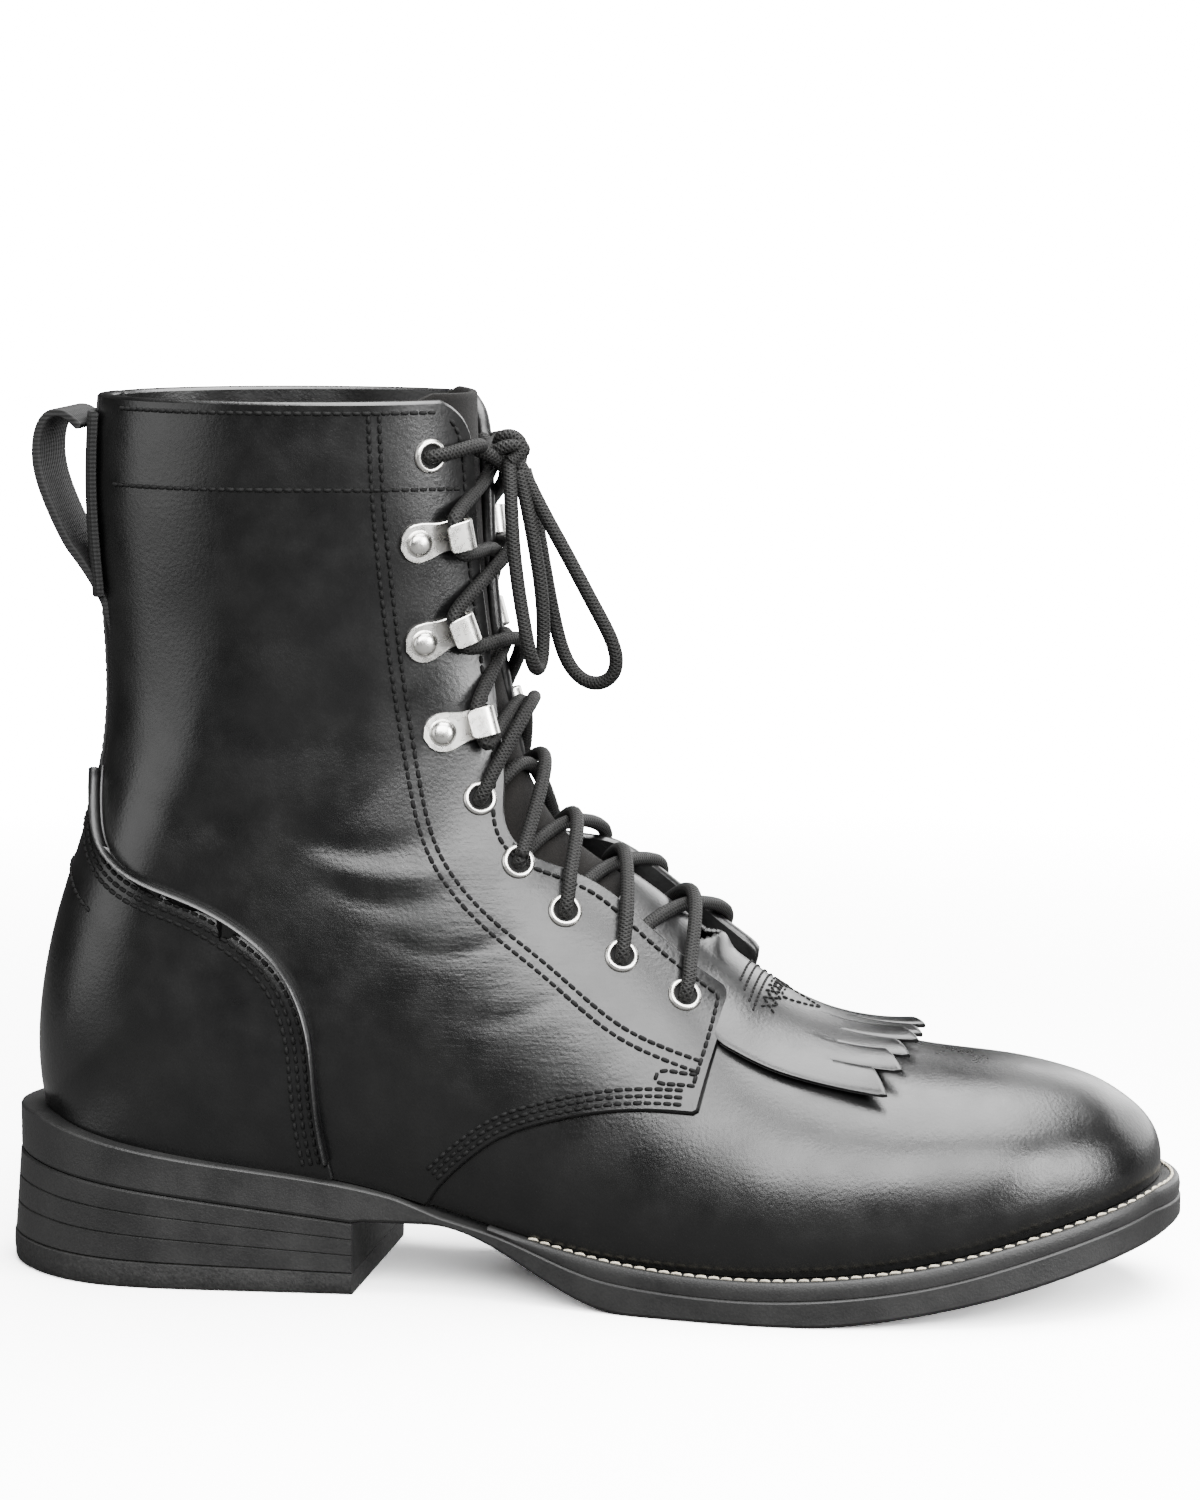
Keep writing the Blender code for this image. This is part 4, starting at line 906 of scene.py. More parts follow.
def heel_ring(inset, flare):
    """Ring of the heel, from the breast round the back, with the heights of its seat and top lift."""
    fine = np.linspace(9.0, HEEL, 240)
    sides = []
    for side in SIDES.values():
        edge = sole_outline(fine, inset, side)
        start = np.interp(-BREAST_X, -edge[:, 0], fine)
        sides.append(sole_outline(np.linspace(start, HEEL, 60), inset, side))
    ring = np.concatenate((sides[0], sides[1][::-1]))
    back = np.clip((BREAST_X - ring[:, 0]) / (BREAST_X - HEEL_BACK_X), 0.0, 1.0)
    ring[:, 0] -= flare * back
    seat = under_z(np.minimum(ring[:, 0], BREAST_X)) - GAP
    lift_top = TOP_LIFT_FRONT + (TOP_LIFT_BACK - TOP_LIFT_FRONT) * back
    return ring, seat, lift_top


def make_heel():
    """Stacked heel with a fine line between its layers, over a top lift."""
    stack = []
    levels = [(0.0, 0.5), (0.02, 0.0), (0.97, 0.0), (1.0, 0.5)]
    for groove in STACK_GROOVES:
        levels += [(groove - 0.015, 0.0), (groove, 0.4), (groove + 0.015, 0.0)]
    for share, inset in sorted(levels, reverse=True):
        ring, seat, lift_top = heel_ring(0.4 + inset, HEEL_FLARE * (1.0 - 0.75 * share))
        low = lift_top + 0.1
        stack.append(lift(ring, low + (seat + 0.2 - low) * share))
    lifts = []
    for height, inset in ((1.0, 0.7), (0.96, 0.1), (0.55, 0.0), (0.16, 0.2), (0.05, 0.6), (0.0, 1.2)):
        ring, _, lift_top = heel_ring(inset, HEEL_FLARE)
        lifts.append(lift(ring, lift_top * height))
    return plate("heel_layers", stack, sharp=20.0), plate("heel_tread", lifts, sharp=30.0)


def make_insole():
    rings = [level(inset, lambda x: feather_z(x) + rise)
             for inset, rise in ((20.0, 3.5), (16.0, 3.3), (13.8, 2.8))]
    rings.append(level(13.6, lambda x: top_z(x) + 2.0 * GAP))
    return plate("insole_board", rings)


# Small shapes that repeat: stitches, eyelets and hooks

COPY_SOCKETS = (("Carrier", "NodeSocketGeometry"), ("Shape", "NodeSocketObject"),
                ("Size", "NodeSocketVector"), ("Unevenness", "NodeSocketFloat"),
                ("Seed", "NodeSocketInt"), ("Finish", "NodeSocketMaterial"))
FULL_SIZE = (1.0, 1.0, 1.0)
SEED = 7


def copies_tree():
    """Nodes that put a shape on every point of a carrier, turned by its along and out vectors."""
    tree = bpy.data.node_groups.new("shape_on_points", "GeometryNodeTree")
    keys = {label: tree.interface.new_socket(label, in_out="INPUT", socket_type=kind).identifier
            for label, kind in COPY_SOCKETS}
    tree.interface.new_socket("Copies", in_out="OUTPUT", socket_type="NodeSocketGeometry")
    make, join = tree.nodes.new, tree.links.new
    given, result = make("NodeGroupInput"), make("NodeGroupOutput")
    turn = make("FunctionNodeAxesToRotation")
    turn.primary_axis, turn.secondary_axis = "Z", "X"
    for label, axis in (("out", "Primary Axis"), ("along", "Secondary Axis")):
        stored = make("GeometryNodeInputNamedAttribute")
        stored.data_type = "FLOAT_VECTOR"
        stored.inputs["Name"].default_value = label
        vector = [s for s in stored.outputs if s.enabled and s.name == "Attribute"][0]
        join(vector, turn.inputs[axis])
    low, high = make("ShaderNodeMath"), make("ShaderNodeMath")
    low.operation, high.operation = "SUBTRACT", "ADD"
    chance = make("FunctionNodeRandomValue")
    chance.data_type = "FLOAT"
    numbers = [s for s in chance.inputs if s.enabled and s.name in ("Min", "Max")]
    for node, socket in zip((low, high), numbers):
        node.inputs[0].default_value = 1.0
        join(given.outputs["Unevenness"], node.inputs[1])
        join(node.outputs[0], socket)
    join(given.outputs["Seed"], chance.inputs["Seed"])
    scale = make("ShaderNodeVectorMath")
    scale.operation = "SCALE"
    join(given.outputs["Size"], scale.inputs[0])
    join([s for s in chance.outputs if s.enabled][0], scale.inputs["Scale"])
    shape = make("GeometryNodeObjectInfo")
    join(given.outputs["Shape"], shape.inputs["Object"])
    place = make("GeometryNodeInstanceOnPoints")
    join(given.outputs["Carrier"], place.inputs["Points"])
    join(shape.outputs["Geometry"], place.inputs["Instance"])
    join(turn.outputs["Rotation"], place.inputs["Rotation"])
    join(scale.outputs["Vector"], place.inputs["Scale"])
    real, paint = make("GeometryNodeRealizeInstances"), make("GeometryNodeSetMaterial")
    join(place.outputs["Instances"], real.inputs["Geometry"])
    join(real.outputs["Geometry"], paint.inputs["Geometry"])
    join(given.outputs["Finish"], paint.inputs["Material"])
    join(paint.outputs["Geometry"], result.inputs["Copies"])
    return tree, keys


def copies(name, shape, places, finish, unevenness=0.0):
    """One mesh of a shape repeated at places, each a point with its along and out vectors."""
    points, along, out = places
    mesh = bpy.data.meshes.new(name)
    mesh.from_pydata([tuple(v) for v in to_frame(points)], [], [])
    for label, rows in (("along", along), ("out", out)):
        layer = mesh.attributes.new(label, "FLOAT_VECTOR", "POINT")
        layer.data.foreach_set("vector", np.asarray(rows, np.float32).ravel())
    item = linked(name, mesh)
    modifier = item.modifiers.new("copies", "NODES")
    modifier.node_group = COPIES
    for label, value in (("Shape", shape), ("Size", FULL_SIZE), ("Unevenness", unevenness),
                         ("Seed", SEED), ("Finish", finish)):
        modifier[COPY_KEYS[label]] = value
    graph = bpy.context.evaluated_depsgraph_get()
    made = bpy.data.meshes.new_from_object(item.evaluated_get(graph), depsgraph=graph)
    item.modifiers.clear()
    item.data = made
    return item


def template(name, verts, faces, sharp=40.0):
    """Small shape about its own origin, for copying."""
    return new_piece(name, np.asarray(verts, float) - TO_CENTRE, faces, sharp)


def lathed(profile, sides, closed=False):
    """Points and faces of a profile of radius, height turned round the out axis."""
    turn = np.arange(sides) * 2.0 * math.pi / sides
    verts = [(r * math.cos(a), r * math.sin(a), h) for r, h in profile for a in turn]
    faces = grid_faces(len(profile), sides, closed=True)
    if closed:
        last = (len(profile) - 1) * sides
        faces += [(last + k, last + (k + 1) % sides, (k + 1) % sides, k) for k in range(sides)]
    return np.array(verts), faces


def thread_shape(length, radius):
    """One stitch: a short arched thread whose ends dip into the leather."""
    place = np.array((-1.0, -0.72, 0.0, 0.72, 1.0))
    wide = np.array((0.35, 0.92, 1.0, 0.92, 0.35)) * radius
    rise = 0.55 * radius * (1.0 - 1.7 * place ** 4)
    turn = np.arange(6) * math.pi / 3.0
    verts = [(0.5 * length * x, w * math.cos(a), h + 0.85 * w * math.sin(a))
             for x, w, h in zip(place, wide, rise) for a in turn]
    faces = grid_faces(5, 6, closed=True) + [tuple(range(6)), tuple(range(24, 30))]
    return template("thread_shape", verts, faces, sharp=80.0)


def eyelet_shape():
    profile = ((2.9, -0.9), (2.9, 0.45), (3.1, 0.88), (3.5, 1.1), (3.95, 0.98), (4.3, 0.58), (4.5, 0.1),
               (4.5, -0.5))
    return template("eyelet_shape", *lathed(profile, 36, closed=True), sharp=60.0)


# Dark plug in each eyelet's hole: painted shade for the hole's depth, as the leather runs on unbroken below
# it.
def hole_shape():
    profile = ((0.01, 0.12), (1.7, 0.16), (3.0, 0.3), (3.0, -0.5), (0.01, -0.5))
    return template("hole_shape", *lathed(profile, 20))


HOOK_FOOT = 5.1
HOOK_NOSE = 13.8
HOOK_BEND = 2.65
HOOK_PLATE = 0.9
RIVET = ((3.55, 0.7), (3.55, 1.0), (3.2, 1.15), (3.1, 1.75), (2.7, 2.3), (1.9, 2.7), (1.0, 2.9),
         (0.02, 2.96))


def hook_shape():
    """Speed hook: a round riveted foot, a nose turned back over itself and a domed rivet."""
    straight = np.linspace(-HOOK_FOOT + 0.02, HOOK_NOSE - HOOK_BEND, 20)
    foot_half = np.where(straight < 1.0, np.sqrt(np.maximum(HOOK_FOOT ** 2 - straight ** 2, 0.3)),
                         5.0 - 1.1 * eased((straight - 1.0) / 6.0))
    path = [(u, 0.0) for u in straight]
    path += [(HOOK_NOSE - HOOK_BEND + HOOK_BEND * math.sin(a), HOOK_BEND - HOOK_BEND * math.cos(a))
             for a in np.linspace(0.3, math.pi, 10)]
    path += [(HOOK_NOSE - HOOK_BEND - t, 2.0 * HOOK_BEND + 0.06 * t) for t in (1.2, 2.4, 3.6, 4.3, 4.6)]
    half = np.concatenate((foot_half, np.linspace(3.9, 3.85, 10), (3.85, 3.8, 3.7, 3.4, 2.9)))
    line = np.array(path) + (0.0, 0.5 * HOOK_PLATE)
    deep, soft = 0.5 * HOOK_PLATE, 0.24
    verts = []
    for place, side, wide in zip(line, left_of(line), half):
        ring = ((wide, soft - deep), (wide, deep - soft), (wide - soft, deep), (soft - wide, deep),
                (-wide, deep - soft), (-wide, soft - deep), (soft - wide, -deep), (wide - soft, -deep))
        verts += [(place[0] + side[0] * t, v, place[1] + side[1] * t) for v, t in ring]
    count = len(line)
    faces = grid_faces(count, 8, closed=True) + [tuple(range(8)), tuple(range(8 * count - 8, 8 * count))]
    round_verts, round_faces = lathed(RIVET, 28)
    faces += [tuple(k + len(verts) for k in face) for face in round_faces]
    return template("hook_shape", np.concatenate((np.array(verts), round_verts)), faces, sharp=34.0)


def surface_frame(place, side):
    """Point on the leather with its directions to the throat, turned as the hook there is, and outwards."""
    s, p = spot(place, side)
    out = last_normal(s, p)
    throat = last_point(s, p - 0.02 * side) - last_point(s, p)
    throat = throat - out * np.dot(throat, out)
    throat = throat / np.linalg.norm(throat)
    down = np.cross(out, throat)
    down = -down if down[2] > 0.0 else down
    turn = math.radians(HOOK_TURN.get(place, 0.0))
    return skin(s, p, LEATHER_TOP), throat * math.cos(turn) + down * math.sin(turn), out


def metal_places(places):
    frames = [surface_frame(place, side) for side in SIDES.values() for place in places]
    return [np.array(rows) for rows in zip(*frames)]


# Rows of stitches

STITCH_PITCH = 2.5
KILTIE_PITCH = 1.9
WELT_PITCH = 3.3


def stitch_places(fine, out, pitch):
    """Points, along and out vectors of stitches on a fine line with its own out vectors."""
    along = run_length(fine)
    count = max(2, int(along[-1] / pitch))
    wanted = (np.arange(count) + 0.5) * along[-1] / count
    rows = np.column_stack((fine, np.gradient(fine, axis=0), out))
    return np.split(read_along(rows, along, wanted), 3, axis=1)


def row_places(line, offset):
    """Stitch places along rows of s, p on the leather."""
    return stitch_places(placed_on_last(line, offset), last_normal(line[:, 0], line[:, 1]), STITCH_PITCH)


def side_row(points, side, shift, offset, keep=slice(None)):
    """Stitch places along a side-view line moved sideways."""
    view = shifted(smooth(points, 140), shift)[keep]
    line = locate(view, side)
    missed = np.linalg.norm(skin(line[:, 0], line[:, 1], LEATHER_TOP)[:, (0, 2)] - view, axis=1)
    return row_places(line[missed < 0.3], offset)


def joined(rows):
    return [np.concatenate(part) for part in zip(*rows)]


SEAM_ROWS = (-1.3, -3.0, -4.7)
COUNTER_ROWS = (2.0, 4.2, 6.4)
FACING_STITCH = -2.2
COLLAR_STITCH = ((-119.0, 229.4), (-90.0, 229.4), (-60.0, 229.4), (-35.5, 229.2))
CUFF_STITCH = ((-121.5, 209.6), (-90.0, 209.8), (-60.0, 209.9), (-30.4, 209.4))
HEEL_FLAP_STITCH = ((-139.5, 112.0), (-135.4, 105.6), (-131.0, 101.0), (-127.0, 98.0))
FRONT_BARTACK = ((34.0, 61.8), (29.4, 62.3), (25.2, 62.7), (23.4, 61.2), (24.8, 59.8), (29.0, 59.5),
                 (33.6, 59.1))


def upper_stitches():
    rows = []
    for side in SIDES.values():
        rows += [side_row(QUARTER_SEAM, side, shift, LEATHER_TOP, slice(6, 128)) for shift in SEAM_ROWS]
        rows += [side_row(EYESTAY, side, shift, LEATHER_TOP) for shift in (-1.3, 1.3)]
        rows += [side_row(COUNTER_EDGE, side, shift, COUNTER_TOP, slice(4, 134)) for shift in COUNTER_ROWS]
        rows += [side_row(line, side, 0.0, LEATHER_TOP)
                 for line in (COLLAR_STITCH, CUFF_STITCH, FRONT_BARTACK)]
        front = FACING[1:] + QUARTER_FRONT[1:]
        rows.append(side_row(front, side, FACING_STITCH, LEATHER_TOP, slice(3, 136)))
        rows.append(side_row(HEEL_FLAP_STITCH, side, 0.0, COUNTER_TOP))
        strip_s = np.linspace(17.2, COLLAR - 0.1, 120)
        strip_p = side * back_p(strip_s, 0.5 * STRIP_WIDTH - 2.2)
        rows.append(row_places(np.column_stack((strip_s, strip_p)), STRIP_TOP - 0.5))
    return joined(rows)


def kiltie_row(s, p):
    """Stitch places along a line on the kiltie."""
    s, p = np.broadcast_arrays(s, p)
    return stitch_places(skin(s, p, kiltie_at(s)[1] + KILTIE), last_normal(s, p), KILTIE_PITCH)


def kiltie_across(s, across):
    return kiltie_row(s, np.sign(across) * half_p(s, np.abs(across)))


KILTIE_CROSS_ROWS = ((6.44, 12.0), (6.34, 14.5), (6.22, 17.0), (6.12, 19.0))
DIAMONDS_BACK, DIAMONDS_FRONT, DIAMONDS_DEEP = 6.04, 5.82, 0.22
DIAMONDS_HALF, DIAMOND_WIDE = 16.0, 8.0
POINT_FRONT, POINT_HALF = 5.3, 6.0
WELT_STITCH_INSET = 2.3
WELT_STITCH_END_X = -12.0


def kiltie_stitches():
    """Cross rows below the throat, then crossing zigzags that make a band of diamonds, and a point."""
    rows = [kiltie_across(s, half * np.linspace(-1.0, 1.0, 80)) for s, half in KILTIE_CROSS_ROWS]
    across = np.linspace(-DIAMONDS_HALF, DIAMONDS_HALF, 161)
    wave = DIAMONDS_DEEP * np.abs((across / DIAMOND_WIDE) % 1.0 - 0.5) * 2.0
    rows += [kiltie_across(s, across) for s in (DIAMONDS_BACK - wave, DIAMONDS_FRONT + wave)]
    s = np.linspace(DIAMONDS_FRONT, POINT_FRONT, 40)
    wide = POINT_HALF * (1.0 - np.linspace(0.0, 1.0, 40) ** 1.5)
    rows += [kiltie_row(s, side * half_p(s, wide)) for side in SIDES.values()]
    return joined(rows)


def welt_stitches():
    line = welt_lines(WELT_STITCH_INSET)
    line = line[line[:, 0] > WELT_STITCH_END_X]
    fine = lift(line, feather_z(line[:, 0]) - GAP)
    return stitch_places(fine, np.tile((0.0, 0.0, 1.0), (len(fine), 1)), WELT_PITCH)


# Laces, a little fuller than their solids

CORD_WIDE = 3.7
LACE_HALF = 0.5 * CORD_WIDE
CORD_SIDES = 12


def tube_piece(name, lines):
    """Round cords along lines, with a map around and along them in turns of their girth."""
    verts, faces, spots = [], [], []
    turn = np.arange(CORD_SIDES)[:, None] * 2.0 * math.pi / CORD_SIDES
    start = 0
    for line in lines:
        tangent = directions(line)
        across = np.cross(tangent[0], (0.3, 0.9, 0.31))
        along = run_length(line) / (math.pi * CORD_WIDE)
        for place, ahead in zip(line, tangent):
            across = across - ahead * np.dot(across, ahead)
            across = across / np.linalg.norm(across)
            other = np.cross(ahead, across)
            verts.append(place + LACE_HALF * (np.cos(turn) * across + np.sin(turn) * other))
        faces += grid_faces(len(line), CORD_SIDES, start, closed=True)
        spots += [(u / CORD_SIDES, v) for low, high in zip(along, along[1:]) for j in range(CORD_SIDES)
                  for u, v in ((j, low), (j + 1, low), (j + 1, high), (j, high))]
        stop = start + len(line) * CORD_SIDES
        faces += [tuple(range(start + CORD_SIDES - 1, start - 1, -1)), tuple(range(stop - CORD_SIDES, stop))]
        spots += [(0.5, v) for v in (along[0], along[-1]) for _ in range(CORD_SIDES)]
        start = stop
    mesh = bpy.data.meshes.new(name)
    mesh.from_pydata([tuple(v) for v in to_frame(np.concatenate(verts))], [], faces)
    mesh.uv_layers.new(name="cord_map").data.foreach_set("uv", np.array(spots, np.float32).ravel())
    mesh.polygons.foreach_set("use_smooth", [len(face) == 4 for face in faces])
    mesh.update()
    return linked(name, mesh)


LACE_OVER = LEATHER_TOP + LACE_HALF + 0.3
UNDER_EDGE = -0.6        # offset of a lace under the other facing's edge
UNDER_END = -0.8         # and where it stops
HOOK_THROAT = 10.2
HOOK_SEAT = 3.0
HOOK_REACH = 5.4         # a lace leaves a hook's fold so far above and below its middle
KNOT_LEAD = ((-6.4, 4.6, -0.4), (-3.0, 1.6, -0.8), (0.4, 0.2, -0.4))


def on_leather(place, offset):
    return skin(place[0], place[1], offset)


def throat_floor(s):
    """Offset of what a lace lies on in the middle of the throat."""
    return float(kiltie_at(s)[1]) + KILTIE if s < KILTIE_BACK else TONGUE_TOP


def eyelet_start(place, side):
    """Place of an eyelet and the first points of a strand that comes up through it."""
    hole = np.array(spot(place, side))
    return hole, [on_leather(hole, -1.4), on_leather(hole, LEATHER_TOP + 1.1)]


def crossing(hole, goal, side, middle, stop):
    """Points over the own facing edge and the throat, and under the other facing edge where it stops."""
    total = abs(hole[1]) + abs(goal[1])
    own = (abs(hole[1]) - throat_edge(hole[0], side)) / total
    far = (abs(hole[1]) + throat_edge(goal[0], -side)) / total
    half = abs(hole[1]) / total

    def at(share):
        return hole + (goal - hole) * share

    edge = at(own)
    stand = facing_rise(edge[0], edge[1])
    points = [on_leather(at(0.45 * own), LACE_OVER + 0.2 + 0.3 * stand), on_leather(edge, LACE_OVER + stand)]
    points.append(on_leather(at(half), middle))
    if stop:
        under = at(far)
        lifted = facing_rise(under[0], under[1])
        points += [on_leather(under, UNDER_EDGE + 0.5 * lifted),
                   on_leather(at(far + 0.06), UNDER_END + 0.5 * lifted)]
    return points


def eyelet_strand(number, side):
    hole, points = eyelet_start(EYELETS[number], side)
    goal = np.array(spot(EYELETS[number + 1], -side))
    middle = throat_floor(0.5 * (hole[0] + goal[0])) + LACE_HALF + (CORD_WIDE if side < 0.0 else 0.0)
    return smooth(points + crossing(hole, goal, side, middle, True), 70)


def hook_pass(place, side):
    """Points of a lace that goes up through a hook's fold."""
    origin, throat, out = surface_frame(place, side)
    up = np.cross(out, throat)
    up = up if up[2] > 0.0 else -up
    middle = origin + throat * HOOK_THROAT + out * HOOK_SEAT
    lean = throat * 0.6 - out * 0.2
    return [middle - up * HOOK_REACH + lean, middle, middle + up * HOOK_REACH + lean]


def hook_strand(side):
    """From the fifth eyelet through the three hooks, turn about, to under the facing by the top eyelet."""
    hole, points = eyelet_start(EYELETS[4], side)
    over = CORD_WIDE if side < 0.0 else 0.0
    low = TONGUE_TOP + LACE_HALF + 1.6
    there = -side
    goal = np.array(spot(HOOKS[0], there))
    points += crossing(hole, goal, side, low + over, False)
    for number, hook in enumerate(HOOKS):
        points += hook_pass(hook, there)
        here = np.array(spot(hook, there))
        goal = np.array(spot(HOOKS[number + 1] if number < 2 else EYELETS[5], -there))
        share = abs(here[1]) / (abs(here[1]) + abs(goal[1]))
        points.append(on_leather(here + (goal - here) * share, low + over))
        there = -there
    under = goal.copy()
    under[1] = there * throat_edge(goal[0], there)
    points += [on_leather(under, UNDER_EDGE), on_leather(0.7 * under + 0.3 * goal, UNDER_END)]
    return smooth(points, 330)


def top_strand(side):
    hole, points = eyelet_start(EYELETS[5], side)
    edge = np.array((hole[0] + 0.02, side * throat_edge(hole[0], side)))
    points += [on_leather(0.6 * hole + 0.4 * edge, LACE_OVER), on_leather(edge, LACE_OVER)]
    points += [np.add(KNOT, (x, y * side, z)) for x, y, z in KNOT_LEAD]
    return smooth(points, 80)


def make_laces():
    lines = [eyelet_strand(number, side) for number in range(4) for side in SIDES.values()]
    lines += [hook_strand(side) for side in SIDES.values()]
    lines += [top_strand(side) for side in SIDES.values()]
    return tube_piece("laces", lines)


KNOT_WRAPS = (
    ((-4.6, -1.6, -2.6), (-2.4, -4.0, -0.4), (1.4, -4.2, 0.8), (4.4, -1.6, 0.2), (3.8, 2.0, -1.6),
     (0.0, 3.4, -2.6), (-4.6, 2.0, -3.2)),
    ((-3.6, 1.0, 1.2), (-2.0, -1.4, 3.4), (1.6, -2.0, 3.6), (4.2, -2.2, 0.8), (3.2, -3.4, -2.6),
     (0.8, -5.4, -4.6)),
    ((-2.6, -3.2, -4.6), (-1.2, -1.6, -1.0), (1.4, 0.4, 2.4), (3.2, 1.6, -0.6), (3.4, 0.6, -4.4)),
)
KNOT_SIZE = 0.8


def make_knot():
    return tube_piece("bow_knot", [smooth(KNOT_SIZE * np.array(wrap) + KNOT, 40) for wrap in KNOT_WRAPS])


def make_loop(name, route):
    """Loop of the bow: its tube and the route that it follows, in metres."""
    lead = np.array(route[0]) + 0.3 * (np.array(KNOT) - route[0])
    path = smooth(np.concatenate(([lead], route)), 36)
    return tube_piece(name, [smooth(path, 120)]), to_frame(path)


# Finishes

def shader_group(name, inputs, outputs):
    tree = bpy.data.node_groups.new(name, "ShaderNodeTree")
    for label, kind, value in inputs:
        socket = tree.interface.new_socket(label, in_out="INPUT", socket_type=kind)
        if value is not None:
            socket.default_value = value
    for label in outputs:
        tree.interface.new_socket(label, in_out="OUTPUT", socket_type="NodeSocketFloat")
    return tree, tree.nodes.new("NodeGroupInput"), tree.nodes.new("NodeGroupOutput")


def feed(tree, value, socket):
    if isinstance(value, bpy.types.NodeSocket):
        tree.links.new(value, socket)
    else:
        socket.default_value = value


def shade_node(tree, kind, inputs, **settings):
    """New node with its settings and its inputs, given by label or number; returns its outputs."""
    node = tree.nodes.new(kind)
    for label, value in settings.items():
        setattr(node, label, value)
    for label, value in inputs.items():
        feed(tree, value, node.inputs[label])
    return node.outputs


def math_node(tree, operation, first, second=0.5):
    return shade_node(tree, "ShaderNodeMath", {0: first, 1: second}, operation=operation)[0]


def times(tree, first, second):
    return math_node(tree, "MULTIPLY", first, second)


def plus(tree, first, second):
    return math_node(tree, "ADD", first, second)


def noise(tree, vector, scale, detail, rough):
    inputs = {"Vector": vector, "Scale": scale, "Detail": detail, "Roughness": rough}
    return shade_node(tree, "ShaderNodeTexNoise", inputs)["Fac"]


def mapped(tree, *values):
    """A value brought from one range, low to high, to another with a soft start and end."""
    inputs = dict(enumerate(values))
    return shade_node(tree, "ShaderNodeMapRange", inputs, interpolation_type="SMOOTHSTEP")[0]


WRINKLED = (-0.020, -0.035, 0.082)       # middle of the wrinkled region


def grain_group():
    """Pebbled grain of the hide with fine wrinkles in one region, and slow changes of tone and gloss."""
    tree, given, result = shader_group(
        "hide_grain",
        (("Vector", "NodeSocketVector", None), ("Cells", "NodeSocketFloat", 1100.0),
         ("Wrinkles", "NodeSocketFloat", 0.5)),
        ("Height", "Tone", "Gloss"))
    vector = given.outputs["Vector"]
    pebbles = {"Vector": vector, "Scale": given.outputs["Cells"]}
    cells = shade_node(tree, "ShaderNodeTexVoronoi", pebbles, feature="SMOOTH_F1")["Distance"]
    pores = noise(tree, vector, 2600.0, 2.0, 0.6)
    stretch = {"Vector": vector, "Scale": (90.0, 90.0, 620.0), "Rotation": (0.0, -0.42, 0.0)}
    fold = noise(tree, shade_node(tree, "ShaderNodeMapping", stretch)["Vector"], 1.0, 3.0, 0.62)
    near = shade_node(tree, "ShaderNodeVectorMath", {0: vector, 1: WRINKLED}, operation="DISTANCE")["Value"]
    region = mapped(tree, near, 0.016, 0.058, 1.0, 0.0)
    wrinkle = times(tree, times(tree, region, given.outputs["Wrinkles"]), fold)
    height = plus(tree, times(tree, cells, 0.55), times(tree, pores, 0.45))
    tree.links.new(plus(tree, height, times(tree, wrinkle, 2.2)), result.inputs["Height"])
    tree.links.new(noise(tree, vector, 38.0, 4.0, 0.55), result.inputs["Tone"])
    tree.links.new(noise(tree, vector, 75.0, 3.0, 0.6), result.inputs["Gloss"])
    return tree


def speckle_group():
    """Fine irregular grain at one size, with slow clouds over it."""
    tree, given, result = shader_group(
        "fine_speckle",
        (("Vector", "NodeSocketVector", None), ("Grain", "NodeSocketFloat", 1500.0),
         ("Cloud", "NodeSocketFloat", 40.0)),
        ("Fine", "Cloudy"))
    vector, grain, cloud = (given.outputs[label] for label in ("Vector", "Grain", "Cloud"))
    tree.links.new(noise(tree, vector, grain, 3.0, 0.7), result.inputs["Fine"])
    tree.links.new(noise(tree, vector, cloud, 4.0, 0.6), result.inputs["Cloudy"])
    return tree


def finish_base(name, rough, metal=0.0, gloss=0.5):
    """New material with its shader and the piece's own coordinates."""
    material = bpy.data.materials.new(name)
    material.use_nodes = True
    tree = material.node_tree
    shader = tree.nodes["Principled BSDF"]
    for label, value in (("Roughness", rough), ("Metallic", metal), ("Specular IOR Level", gloss)):
        shader.inputs[label].default_value = value
    return material, tree, shader, shade_node(tree, "ShaderNodeTexCoord", {})["Object"]


def placed_group(tree, group, vector, **values):
    return shade_node(tree, "ShaderNodeGroup", {"Vector": vector, **values}, node_tree=group)


def shaded(tree, shader, value, low, high, dark, light):
    """Base colour between two colours by a value."""
    ramp = tree.nodes.new("ShaderNodeValToRGB")
    for stop, position, colour in zip(ramp.color_ramp.elements, (low, high), (dark, light)):
        stop.position, stop.color = position, (*colour, 1.0)
    feed(tree, value, ramp.inputs["Fac"])
    tree.links.new(ramp.outputs["Color"], shader.inputs["Base Color"])


def bumped(tree, shader, height, strength, distance):
    inputs = {"Strength": strength, "Distance": distance, "Height": height}
    tree.links.new(shade_node(tree, "ShaderNodeBump", inputs)["Normal"], shader.inputs["Normal"])


def leather_finish(name, wrinkles, dark, light, rough):
    material, tree, shader, place = finish_base(name, 0.4, gloss=0.5)
    hide = placed_group(tree, GRAIN, place, Wrinkles=wrinkles)
    shaded(tree, shader, hide["Tone"], 0.3, 0.75, dark, light)
    uneven = mapped(tree, hide["Gloss"], 0.25, 0.75, rough - 0.05, rough + 0.06)
    tree.links.new(uneven, shader.inputs["Roughness"])
    bumped(tree, shader, hide["Height"], strength=0.30, distance=0.00022)
    return material


